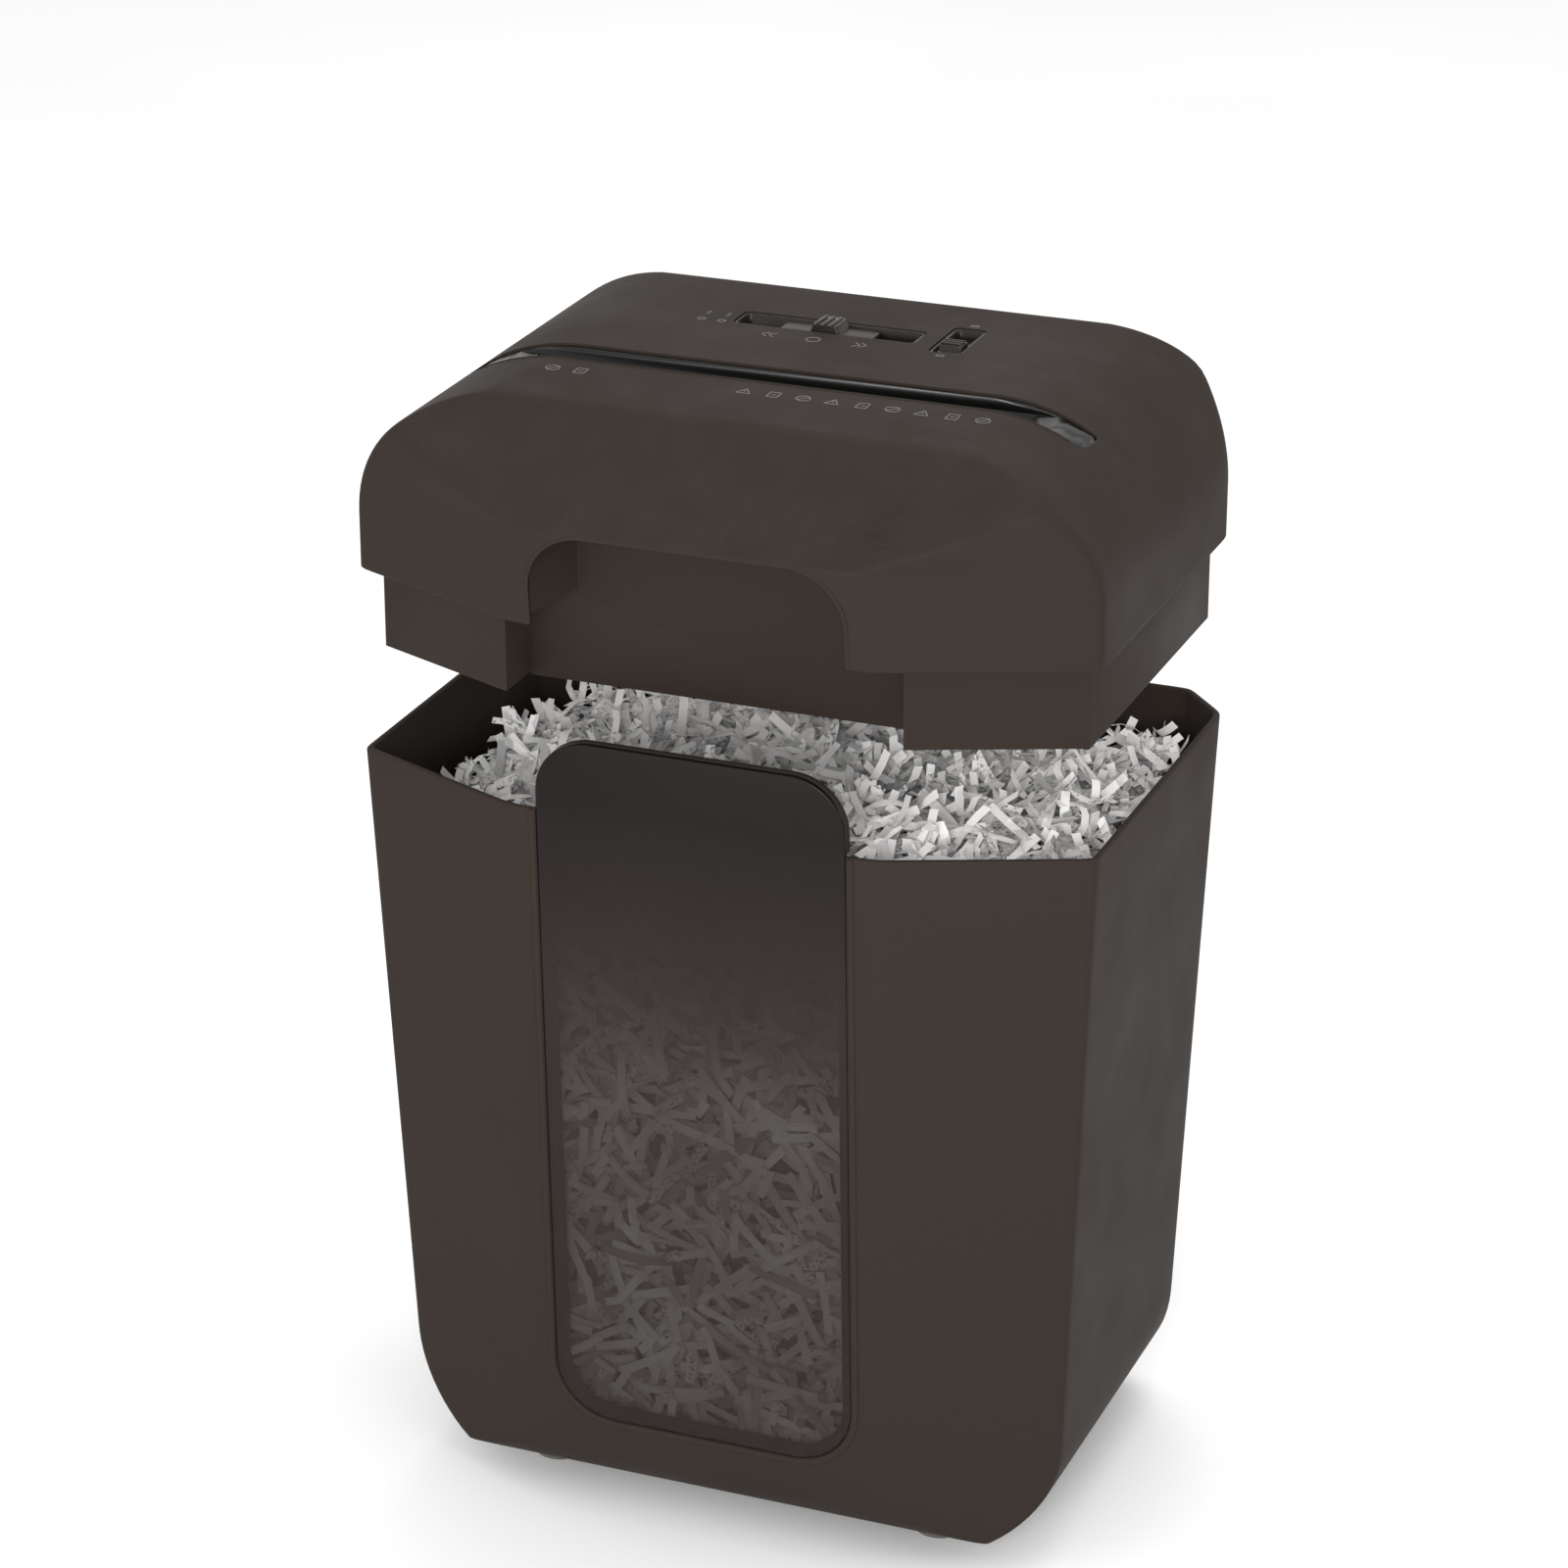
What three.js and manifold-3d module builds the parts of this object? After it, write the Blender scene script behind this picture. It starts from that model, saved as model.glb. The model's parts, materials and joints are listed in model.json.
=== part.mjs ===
// Desk-side paper shredder: a lift-off cutting head above a tapered waste bin with a smoked window.
// Units are millimetres, +Z is up and the front faces -Y. The head is drawn seated on the bin rim and
// its group is then raised by headLift, the height at which it is being lifted away for emptying.
import * as THREE from 'three';
import { mergeVertices } from 'three/addons/utils/BufferGeometryUtils.js';
import Module from 'manifold-3d';

const wasm = await Module();
wasm.setup();

// ---- Driving dimensions: bin ----
const binWidth = 340;               // across the rim, left to right
const binDepth = 239;               // rim, front facet to rear wall
const binHeight = 354;              // floor to rim
const binWall = 3;
const facetMargin = 13;             // flat middle facet beyond each side of the window
const frontBow = 36;                // how far the middle facet stands in front of the side corners
const rearChamferX = 22;
const rearChamferY = 24;
const sideDraft = THREE.MathUtils.degToRad(2.4);
const frontDraft = THREE.MathUtils.degToRad(2.2);
const rearDraft = THREE.MathUtils.degToRad(1.2);
const sideFootRadius = 58;          // big bend from each side into the underside
const frontFootRadius = 48;         // bend from the front into the underside
const rearFootRadius = 20;
const footHeight = 6.7;
const footRadius = 12;
const footSpacingX = 189;
const footFrontSetback = 64;        // rim front facet to front foot centre
const footRearSetback = 62;

// ---- Driving dimensions: window and tongue ----
const windowWidth = 142;
const windowBottom = 53.5;          // lower edge of the panel above the floor
const windowLowerRadius = 28;
const tongueRise = 33.5;            // tongue above the rim
const tongueRadius = 25;
const panelThickness = 2.4;
const frameLip = 5;                 // width of the seat behind the panel edge
const backingThickness = 4;
const backingDrop = 9;              // how far the tongue backing hangs below the rim
const fitGap = 0.3;                 // between pieces that rest on each other
const heapDrop = 45;                // top of the paper heap below the rim
const heapCrust = 4;
const heapClearance = 5;            // heap to the bin's inner faces
const ribWidth = 4;                 // interlock rib on the rear wall
const ribReach = 17;
const ribDrop = 30;                 // top of the rib below the rim

// ---- Driving dimensions: head ----
const headLift = 84;
const headHeight = 87.3;            // bottom edge to flat top
const coverWall = 3;
const crownShoulder = 26;           // straight part of each side below the rounded crown
const crownFlatWidth = 190;         // flat part of the top, left to right
const topRearRadius = 14;
const noseHeight = 43;              // front nose above the cover's bottom edge
const noseOverhang = 6;             // nose in front of the bin's middle facet
const lipOverhang = 1.2;            // cover's bottom edge in front of the middle facet
const fasciaSetback = 47;           // sloped fascia, nose to strip edge
const fasciaHollow = 2.5;           // depth of the fascia's concave sag
const stripEdgeDrop = 1.2;
const archClearance = 0.9;          // arch to each side of the tongue
const archTop = 43.3;               // arch crown above the cover's bottom edge
const archRadius = 26;
const skirtDepth = 38.7;            // part of the head that plugs into the bin
const skirtSideInset = 7.4;
const skirtFrontInset = 12.8;
const skirtWall = 2.5;
const skirtGapMargin = 18.8;        // opening in the skirt beyond each side of the arch
const ribNotchPlay = 1.5;           // skirt notch around the interlock rib
const deckRise = 14.5;              // housing floor above the skirt's lower edge
const deckThickness = 3;

// ---- Driving dimensions: recess, throat and controls ----
const recessDepth = 43;             // nose to recess back panel
const recessTaper = 6.5;            // how much each side wall closes in towards the back
const recessWall = 2.5;
const throatCentreY = -13.5;
const throatBandWidth = 18.6;
const throatBandLength = 282;
const paperWidth = 230;             // clear throat for an A4 sheet
const paperGap = 7;
const throatDrop = 49;              // insert depth below the flat top
const switchCentreX = -5;
const switchCentreY = 60.5;
const switchBezelLength = 86;
const switchBezelWidth = 17.5;
const switchTravel = 17;
const bezelDepth = 7;
const bezelFloor = 1.6;
const bezelRim = 1.4;
const lockCentreX = 54.5;
const lockCentreY = 62;
const lockBezelLength = 37;
const lockBezelWidth = 15;
const lockTravel = 12;
const ledSpacing = 9.5;
const ledCentreX = -57.5;
const ledCentreY = 59.5;
const ledWidth = 2.2;
const ledLength = 6.5;
const stemWidth = 4;                // stem under each slider
const boardDrop = 20;               // control board below the flat top
const boardThickness = 1.6;

// ---- Driving dimensions: rear, sensors and fasteners ----
const glandX = -118;
const glandRise = 22;
const glandBore = 7;
const glandFlange = 2;
const cordBore = 3.6;
const ventCount = 9;
const ventStartX = 4;
const ventPitch = 10;
const ventSlot = 4.5;
const ventHeight = 26;
const ventRise = 14;
const plungerX = -36;
const plungerSetback = 15;
const plungerRadius = 3;
const plungerTravel = 4;
const interlockSwitchHalf = 5;
const plungerPlay = 0.8;            // plunger tip above the rib when the head is seated
const flagWidth = 6;
const flagSetback = 13;             // flag pivot behind the throat
const flagDrop = 31;
const flagPinRadius = 1.5;
const bossX = 146;
const bossFrontY = -52;
const bossRearY = 78;
const bossRadius = 4.5;
const screwRadius = 1.7;

// ---- Driving dimensions: cutting mechanism ----
const cutterSpacing = 36;           // between the two cutter axes
const discRadius = 20.6;
const discTipGap = 1.8;             // disc edge to the facing spacer
const discCount = 12;
const discSideGap = 1;              // between neighbouring discs of the two cutters
const cutterEndGap = 7.9;           // first and last disc to the side frames
const shaftRadius = 6;
const cutterHeight = 50;            // cutter axes above the skirt's lower edge
const throatCheek = 3;              // end wall of the throat insert
const sideFrameThickness = 3;
const bearingRadius = 10;
const runningGap = 0.3;
const driveModule = 2;
const driveTeeth = 36;
const smallTeeth = 12;
const motorModule = 1.25;
const gearFace = 10;
const trainAngle = THREE.MathUtils.degToRad(9);
const idlerPin = 4;
const keyFit = 0.15;
const motorRadius = 30;
const capacitorRadius = 15;
const motorLength = 104;
const armatureRadius = 19;
const armatureLength = 62;
const armatureGap = 2;              // armature to the motor's inner wall
const motorShaftRadius = 4;
const tieRadius = 3.5;

// ---- Derived sizes ----
const frontFacetWidth = windowWidth + 2 * facetMargin;
const archWidth = windowWidth + 2 * archClearance;
const skirtGapWidth = archWidth + 2 * skirtGapMargin;
const sideFrameX = paperWidth / 2 + throatCheek + fitGap;
const discPitch = (2 * (sideFrameX - cutterEndGap)) / discCount;   // one disc and one spacer
const discWidth = discPitch / 2 - discSideGap;
const spacerRadius = cutterSpacing - discRadius - discTipGap;
const syncModule = cutterSpacing / smallTeeth;
const exitReach = cutterSpacing / 2 + 18;
const driveWellReach = (driveModule * driveTeeth) / 2 + 6;

// ---- Derived places ----
const rimHalf = binWidth / 2;
const frontY = -116.5;
const rearY = frontY + binDepth;
const coverBase = binHeight + fitGap;
const coverTop = coverBase + headHeight;
const noseY = frontY - noseOverhang;
const noseZ = coverBase + noseHeight;
const stripEdgeY = noseY + fasciaSetback;
const skirtBase = coverBase - skirtDepth;
const deckBase = skirtBase + deckRise;
const deckTop = deckBase + deckThickness;
const cutterZ = skirtBase + cutterHeight;
const rearCutterY = throatCentreY + cutterSpacing / 2;
const frontCutterY = throatCentreY - cutterSpacing / 2;
const recessBackY = noseY + recessDepth;
const heapTop = binHeight - heapDrop;
const ribTop = binHeight - ribDrop;
const glandZ = coverBase + glandRise;
const ventBase = coverBase + ventRise;
const plungerY = rearY - plungerSetback;
const plungerTop = deckTop + 24;
const flagPivotY = throatCentreY + flagSetback;
const flagPivotZ = coverTop - flagDrop;
const boardTop = coverTop - boardDrop;
const bossPlaces = [[-bossX, bossRearY], [bossX, bossRearY], [-bossX, bossFrontY], [bossX, bossFrontY]];
const idlerDistance = (driveModule * (driveTeeth + smallTeeth)) / 2;
const motorDistance = (motorModule * (driveTeeth + smallTeeth)) / 2;
const idlerY = rearCutterY + idlerDistance * Math.cos(trainAngle);
const idlerZ = cutterZ + idlerDistance * Math.sin(trainAngle);
const motorY = idlerY + motorDistance * Math.cos(trainAngle);
const motorZ = idlerZ + motorDistance * Math.sin(trainAngle);
const nearRow = sideFrameX + sideFrameThickness + 4;
const farRow = nearRow + gearFace + 1.5;
const motorNose = sideFrameX - fitGap;
const armatureEnd = motorNose - 14;
const tiePlaces = [
  [frontCutterY - 22, cutterZ + 17], [rearCutterY + 26, cutterZ - 22], [rearCutterY + 22, cutterZ + 30],
];
const depthCentre = (noseY + rearY + glandFlange) / 2;

// ---- Solid modelling helpers ----
function solidFrom(geometry) {
  const bare = geometry.clone();
  bare.deleteAttribute('normal');
  bare.deleteAttribute('uv');
  const merged = mergeVertices(bare, 1e-4);
  return new wasm.Manifold(new wasm.Mesh({
    numProp: 3,
    vertProperties: new Float32Array(merged.attributes.position.array),
    triVerts: new Uint32Array(merged.index.array),
  }));
}

function join(...solids) {
  return solids.reduce((whole, piece) => whole.add(piece));
}

function cut(base, ...tools) {
  return tools.reduce((whole, tool) => whole.subtract(tool), base);
}

function common(...solids) {
  return solids.reduce((whole, piece) => whole.intersect(piece));
}

function geometryFrom(solid) {
  const mesh = solid.getMesh();
  const geometry = new THREE.BufferGeometry();
  const corners = new Float32Array(mesh.numVert * 3);
  for (let i = 0; i < mesh.numVert; i += 1) {
    for (let k = 0; k < 3; k += 1) {
      corners[3 * i + k] = mesh.vertProperties[mesh.numProp * i + k];
    }
  }
  geometry.setAttribute('position', new THREE.BufferAttribute(corners, 3));
  geometry.setIndex(new THREE.BufferAttribute(new Uint32Array(mesh.triVerts), 1));
  geometry.computeVertexNormals();
  return geometry;
}

function block(x0, x1, y0, y1, z0, z1) {
  const box = new THREE.BoxGeometry(x1 - x0, y1 - y0, z1 - z0);
  return solidFrom(box.translate((x0 + x1) / 2, (y0 + y1) / 2, (z0 + z1) / 2));
}

// The two ends of a span of the given reach either side of a centre.
function around(centre, reach) {
  return [centre - reach, centre + reach];
}

function extrude(shape, depth, curveSegments) {
  return new THREE.ExtrudeGeometry(shape, { depth, bevelEnabled: false, steps: 1, curveSegments });
}

// A plan shape (x, y) raised from z0 to z1.
function prismZ(shape, z0, z1, curveSegments = 8) {
  return solidFrom(extrude(shape, z1 - z0, curveSegments).translate(0, 0, z0));
}

// A front-view shape (x, z) carried from y0 to y1.
function prismY(shape, y0, y1, curveSegments = 8) {
  return solidFrom(extrude(shape, y1 - y0, curveSegments).rotateX(Math.PI / 2).translate(0, y1, 0));
}

// A side-view shape (y, z) carried from x0 to x1.
function prismX(shape, x0, x1, curveSegments = 8) {
  const geometry = extrude(shape, x1 - x0, curveSegments);
  return solidFrom(geometry.rotateX(Math.PI / 2).rotateZ(Math.PI / 2).translate(x0, 0, 0));
}

function rodX(x0, x1, y, z, radius, sides = 20) {
  const rod = new THREE.CylinderGeometry(radius, radius, x1 - x0, sides);
  return solidFrom(rod.rotateZ(Math.PI / 2).translate((x0 + x1) / 2, y, z));
}

function rodY(y0, y1, x, z, radius, sides = 20) {
  const rod = new THREE.CylinderGeometry(radius, radius, y1 - y0, sides);
  return solidFrom(rod.translate(x, (y0 + y1) / 2, z));
}

function rodZ(z0, z1, x, y, radius, sides = 20) {
  const rod = new THREE.CylinderGeometry(radius, radius, z1 - z0, sides);
  return solidFrom(rod.rotateX(Math.PI / 2).translate(x, y, (z0 + z1) / 2));
}

function polygon(points) {
  return new THREE.Shape(points.map(([a, b]) => new THREE.Vector2(a, b)));
}

function rectangle(x0, x1, y0, y1, lowRadius = 0, highRadius = lowRadius) {
  const shape = new THREE.Shape();
  shape.moveTo(x0 + lowRadius, y0);
  shape.lineTo(x1 - lowRadius, y0);
  if (lowRadius) shape.absarc(x1 - lowRadius, y0 + lowRadius, lowRadius, -Math.PI / 2, 0, false);
  shape.lineTo(x1, y1 - highRadius);
  if (highRadius) shape.absarc(x1 - highRadius, y1 - highRadius, highRadius, 0, Math.PI / 2, false);
  shape.lineTo(x0 + highRadius, y1);
  if (highRadius) shape.absarc(x0 + highRadius, y1 - highRadius, highRadius, Math.PI / 2, Math.PI, false);
  shape.lineTo(x0, y0 + lowRadius);
  if (lowRadius) shape.absarc(x0 + lowRadius, y0 + lowRadius, lowRadius, Math.PI, Math.PI * 1.5, false);
  return shape;
}

// Moves every edge of a counter-clockwise outline inwards by the same distance.
function inset(points, distance) {
  const count = points.length;
  return points.map((point, i) => {
    const before = points[(i + count - 1) % count];
    const after = points[(i + 1) % count];
    const a = new THREE.Vector2(point[0] - before[0], point[1] - before[1]).normalize();
    const b = new THREE.Vector2(after[0] - point[0], after[1] - point[1]).normalize();
    const scale = distance / (1 + a.dot(b));
    return [point[0] - (a.y + b.y) * scale, point[1] + (a.x + b.x) * scale];
  });
}

// ---- Bin ----
// Rim outline, counter-clockwise from the front facet's left end.
function rimOutline() {
  const facet = frontFacetWidth / 2;
  const corner = frontY + frontBow;
  return [
    [-facet, frontY], [facet, frontY], [rimHalf, corner], [rimHalf, rearY - rearChamferY],
    [rimHalf - rearChamferX, rearY], [-rimHalf + rearChamferX, rearY],
    [-rimHalf, rearY - rearChamferY], [-rimHalf, corner],
  ];
}

// A prism on the rim outline whose walls lean in downwards at the bin's draft angles.
function draftedPrism(outline, low, high) {
  const geometry = extrude(polygon(outline), high - low, 1).translate(0, 0, low);
  const corners = geometry.attributes.position;
  const span = rearY - frontY;
  for (let i = 0; i < corners.count; i += 1) {
    const drop = binHeight - corners.getZ(i);
    const share = (corners.getY(i) - frontY) / span;
    const lean = Math.tan(frontDraft) * (1 - share) - Math.tan(rearDraft) * share;
    corners.setX(i, corners.getX(i) * (1 - (Math.tan(sideDraft) * drop) / rimHalf));
    corners.setY(i, corners.getY(i) + lean * drop);
  }
  return solidFrom(geometry);
}

// Outline whose two lower corners are bends tangent to walls that lean outwards; above the bends it
// opens wider than the walls, so that only the bends trim them.
function bentOutline(low, high, lowBend, highBend, lowDraft, highDraft, base) {
  const spread = binHeight;
  const lowCentre = low - lowBend * Math.tan(lowDraft) + lowBend / Math.cos(lowDraft);
  const highCentre = high + highBend * Math.tan(highDraft) - highBend / Math.cos(highDraft);
  const shape = new THREE.Shape();
  shape.moveTo(highCentre, base);
  shape.absarc(highCentre, base + highBend, highBend, -Math.PI / 2, -highDraft, false);
  shape.lineTo(high + spread, base + highBend + spread * 2);
  shape.lineTo(low - spread, base + lowBend + spread * 2);
  shape.absarc(lowCentre, base + lowBend, lowBend, Math.PI + lowDraft, Math.PI * 1.5, false);
  return shape;
}

// The bent underside of the bin: a front-view and a side-view outline, both shrunk by the margin.
function bottomBends(margin) {
  const base = footHeight + margin;
  const drop = binHeight - base;
  const half = rimHalf - Math.tan(sideDraft) * drop - margin;
  const front = frontY + Math.tan(frontDraft) * drop + margin;
  const rear = rearY - Math.tan(rearDraft) * drop - margin;
  const side = sideFootRadius - margin;
  const bow = frontFootRadius - margin;
  const heel = rearFootRadius - margin;
  return common(
    prismY(bentOutline(-half, half, side, side, sideDraft, sideDraft, base), -binDepth, binDepth, 9),
    prismX(bentOutline(front, rear, bow, heel, frontDraft, rearDraft, base), -binWidth, binWidth, 8),
  );
}

function binBody(margin, low, high) {
  return common(draftedPrism(inset(rimOutline(), margin), low, high), bottomBends(margin));
}

// Places a solid drawn in front view (x, height above the rim) onto the leaning front facet.
function onFacet(shape, depthIn, depthOut, curveSegments = 8) {
  const geometry = extrude(shape, depthIn - depthOut, curveSegments).rotateX(Math.PI / 2);
  geometry.translate(0, depthIn, 0).rotateX(frontDraft).translate(0, frontY, binHeight);
  return solidFrom(geometry);
}

const facetDrop = (binHeight - windowBottom) / Math.cos(frontDraft);

function panelOutline(margin) {
  const half = windowWidth / 2 - margin;
  const low = -facetDrop + margin;
  return rectangle(-half, half, low, tongueRise - margin, windowLowerRadius - margin, tongueRadius - margin);
}

function binShell() {
  const seatHalf = windowWidth / 2 + fitGap;
  const openHalf = windowWidth / 2 - frameLip;
  const above = tongueRise * 2;
  const seat = rectangle(-seatHalf, seatHalf, -facetDrop - fitGap, above, windowLowerRadius + fitGap, 0);
  const open = rectangle(-openHalf, openHalf, -facetDrop + frameLip, above, windowLowerRadius - frameLip, 0);
  const frameHalf = seatHalf + frameLip;
  const frame = rectangle(-frameHalf, frameHalf, -facetDrop - frameLip, 0, windowLowerRadius + frameLip, 0);
  const interlockRib = block(...around(plungerX, ribWidth / 2), rearY - ribReach - 1, rearY - 1,
    heapTop + 3, ribTop);
  const ribbed = join(
    cut(binBody(0, footHeight, binHeight), binBody(binWall, footHeight, binHeight + 1)),
    common(onFacet(frame, panelThickness + 2.6, 1, 6), binBody(0, footHeight, binHeight)),
    common(interlockRib, binBody(1, footHeight, binHeight)),
  );
  return cut(ribbed, onFacet(seat, panelThickness + fitGap, -20, 6), onFacet(open, 20, -20, 6));
}

function windowPanel() {
  return onFacet(panelOutline(0), panelThickness, 0, 6);
}

function tongueBacking() {
  const openHalf = windowWidth / 2 - frameLip - fitGap;
  const inner = panelThickness + fitGap;
  const outer = rectangle(-windowWidth / 2, windowWidth / 2, fitGap, tongueRise, 0, tongueRadius);
  const hook = rectangle(-openHalf, openHalf, -backingDrop, fitGap * 2, 0);
  return join(
    onFacet(outer, inner + backingThickness, inner, 6),
    onFacet(hook, inner + backingThickness, inner, 6),
  );
}

function foot(x, y) {
  const high = footHeight - fitGap;
  const profile = [[0, 0], [footRadius - 1.2, 0], [footRadius, 1.2], [footRadius, high], [0, high]];
  const points = profile.map(([radius, z]) => new THREE.Vector2(radius, z));
  return solidFrom(new THREE.LatheGeometry(points, 20).rotateX(Math.PI / 2).translate(x, y, 0));
}

// Loose cross-cut paper: a crust with the outline of the heap, open underneath.
function paperHeap() {
  const clear = binWall + heapClearance;
  const whole = binBody(clear, footHeight, heapTop);
  const inside = binBody(clear + heapCrust, footHeight - 1, heapTop - heapCrust);
  const bench = block(-binWidth, binWidth, -binDepth, binDepth, 0, footHeight + frontFootRadius / 3);
  return cut(whole, inside, bench);
}

// ---- Head shell ----
function crownShape(margin, base) {
  const half = rimHalf - margin;
  const flat = crownFlatWidth / 2;
  const shoulder = coverBase + crownShoulder;
  const rise = coverTop - margin - shoulder;
  const shape = new THREE.Shape();
  shape.moveTo(-half, base);
  shape.lineTo(half, base);
  shape.lineTo(half, shoulder);
  shape.absellipse(flat, shoulder, half - flat, rise, 0, Math.PI / 2, false);
  shape.absellipse(-flat, shoulder, half - flat, rise, Math.PI / 2, Math.PI, false);
  return shape;
}

// Side view of the cover: leaning lip, nose, hollow fascia, strip edge, flat top, rounded rear edge.
function coverSide(base) {
  const points = [[frontY - lipOverhang, coverBase], [frontY - lipOverhang, base], [rearY, base]];
  const bends = 6;
  for (let i = 0; i <= bends; i += 1) {
    const turn = (i / bends) * Math.PI / 2;
    points.push([
      rearY - topRearRadius + topRearRadius * Math.cos(turn),
      coverTop - topRearRadius + topRearRadius * Math.sin(turn),
    ]);
  }
  points.push([throatCentreY, coverTop]);
  const top = coverTop - stripEdgeDrop;
  const steps = 6;
  for (let i = 0; i <= steps; i += 1) {
    const share = i / steps;
    const sag = fasciaHollow * 4 * share * (1 - share) * Math.SQRT1_2;
    points.push([
      stripEdgeY + (noseY - stripEdgeY) * share + sag,
      top + (noseZ - top) * share - sag,
    ]);
  }
  return points;
}

// Plan of the cover: the rim outline with its middle facet carried out to the nose.
function coverPlan() {
  const facet = frontFacetWidth / 2;
  const slope = frontBow / (rimHalf - facet);
  const outline = rimOutline();
  outline[0] = [-facet + noseOverhang / slope, noseY];
  outline[1] = [facet - noseOverhang / slope, noseY];
  return outline;
}

function coverBody(margin, base) {
  return common(
    prismY(crownShape(margin, base), -binDepth, binDepth, 10),
    prismZ(polygon(inset(coverPlan(), margin)), base, coverTop + 1),
    prismX(polygon(inset(coverSide(base - 20), margin)), -binWidth, binWidth),
    block(-binWidth, binWidth, -binDepth, binDepth, base, coverTop + 1),
  );
}

function topCover() {
  const shell = cut(coverBody(0, coverBase), coverBody(coverWall, coverBase - 5));
  const arch = rectangle(-archWidth / 2, archWidth / 2, coverBase - 20, coverBase + archTop, 0, archRadius);
  const half = throatBandLength / 2 + fitGap;
  const band = throatBandWidth / 2 + fitGap;
  const openings = [
    prismY(arch, noseY - 20, recessBackY, 7),
    block(-half, half, throatCentreY - band, throatCentreY + band, coverBase, coverTop + 5),
    block(...around(switchCentreX, switchBezelLength / 2 + fitGap),
      ...around(switchCentreY, switchBezelWidth / 2 + fitGap), coverTop - 10, coverTop + 5),
    block(...around(lockCentreX, lockBezelWidth / 2 + fitGap),
      ...around(lockCentreY, lockBezelLength / 2 + fitGap), coverTop - 10, coverTop + 5),
    rodY(rearY - 10, rearY + 5, glandX, glandZ, glandBore + fitGap, 20),
  ];
  for (const side of [-1, 1]) {
    const x = ledCentreX + (side * ledSpacing) / 2;
    openings.push(block(...around(x, ledWidth / 2 + fitGap), ...around(ledCentreY, ledLength / 2 + fitGap),
      coverTop - 10, coverTop + 5));
  }
  for (let i = 0; i < ventCount; i += 1) {
    const x = ventStartX + i * ventPitch;
    openings.push(block(x, x + ventSlot, rearY - 10, rearY + 5, ventBase, ventBase + ventHeight));
  }
  const posts = bossPlaces.map(([x, y]) => cut(
    common(rodZ(deckTop + fitGap, coverTop, x, y, bossRadius, 12), coverBody(1, deckTop)),
    rodZ(deckTop - 5, deckTop + 22, x, y, screwRadius + fitGap, 12),
  ));
  return join(cut(shell, ...openings), ...posts);
}

// ---- Lower housing: the skirt that plugs into the bin, its floor and its ledge ----
function skirtOutline() {
  const sides = rimHalf - skirtSideInset;
  const inner = inset(rimOutline(), skirtSideInset);
  const gap = skirtGapWidth / 2;
  const slope = frontBow / (rimHalf - frontFacetWidth / 2);
  const frontAt = (x) => frontY + skirtFrontInset + (x - frontFacetWidth / 2) * slope;
  const wallY = recessBackY + recessWall + fitGap;
  return [
    [-gap, frontAt(gap)], [-gap, wallY], [gap, wallY], [gap, frontAt(gap)], [sides, frontAt(sides)],
    inner[3], inner[4], inner[5], inner[6], [-sides, frontAt(sides)],
  ];
}

function lowerHousing() {
  const outline = skirtOutline();
  const ledgeBase = coverBase + 1;
  const ledgeTop = ledgeBase + skirtWall;
  const within = prismZ(polygon(inset(outline, skirtWall)), skirtBase - 5, ledgeTop + 5);
  const ledge = common(
    coverBody(coverWall + fitGap, coverBase - 5),
    block(-binWidth, binWidth, -binDepth, binDepth, ledgeBase, ledgeTop),
  );
  const gap = skirtGapWidth / 2;
  const mouth = block(-gap, gap, -binDepth, recessBackY + recessWall + fitGap, skirtBase, ledgeTop + 5);
  const deck = prismZ(polygon(inset(outline, 1)), deckBase, deckTop);
  const exit = block(-paperWidth / 2, paperWidth / 2, ...around(throatCentreY, exitReach),
    deckBase - 5, deckTop + 5);
  const holes = bossPlaces.map(([x, y]) => rodZ(deckBase - 5, deckTop + 5, x, y, screwRadius + fitGap, 12));
  const trainWell = block(sideFrameX - 4, sideFrameX + 36, ...around(rearCutterY, driveWellReach),
    deckBase - 5, deckTop + 5);
  const ribNotch = block(...around(plungerX, ribWidth / 2 + ribNotchPlay), rearY - ribReach - 3, rearY,
    skirtBase - 5, ribTop + ribNotchPlay);
  const plungerHole = rodZ(deckBase - 5, deckTop + 5, plungerX, plungerY, plungerRadius + fitGap, 14);
  const ring = join(prismZ(polygon(outline), skirtBase, ledgeTop), ledge);
  return cut(join(cut(ring, within), deck), mouth, exit, trainWell, ribNotch, plungerHole, ...holes);
}

// ---- Grip recess behind the arch ----
function gripRecess() {
  const mouthHalf = archWidth / 2 + fitGap;
  const backHalf = mouthHalf - recessTaper;
  const mouthY = noseY + 9;
  const roof = coverBase + archTop + fitGap;
  const plan = [
    [-mouthHalf - recessWall, mouthY], [-mouthHalf, mouthY], [-backHalf, recessBackY],
    [backHalf, recessBackY], [mouthHalf, mouthY], [mouthHalf + recessWall, mouthY],
    [backHalf + recessWall, recessBackY + recessWall], [-backHalf - recessWall, recessBackY + recessWall],
  ];
  const hood = [
    [-mouthHalf - recessWall, mouthY], [mouthHalf + recessWall, mouthY],
    [backHalf + recessWall, recessBackY + recessWall], [-backHalf - recessWall, recessBackY + recessWall],
  ];
  const plate = skirtGapWidth / 2 - 2;
  const whole = join(
    prismZ(polygon(plan), coverBase + 4, roof + recessWall),
    prismZ(polygon(hood), roof, roof + recessWall),
    block(-plate, plate, recessBackY, recessBackY + recessWall, skirtBase, coverBase + 8),
  );
  return common(whole, coverBody(coverWall + fitGap, skirtBase - 5));
}

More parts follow.
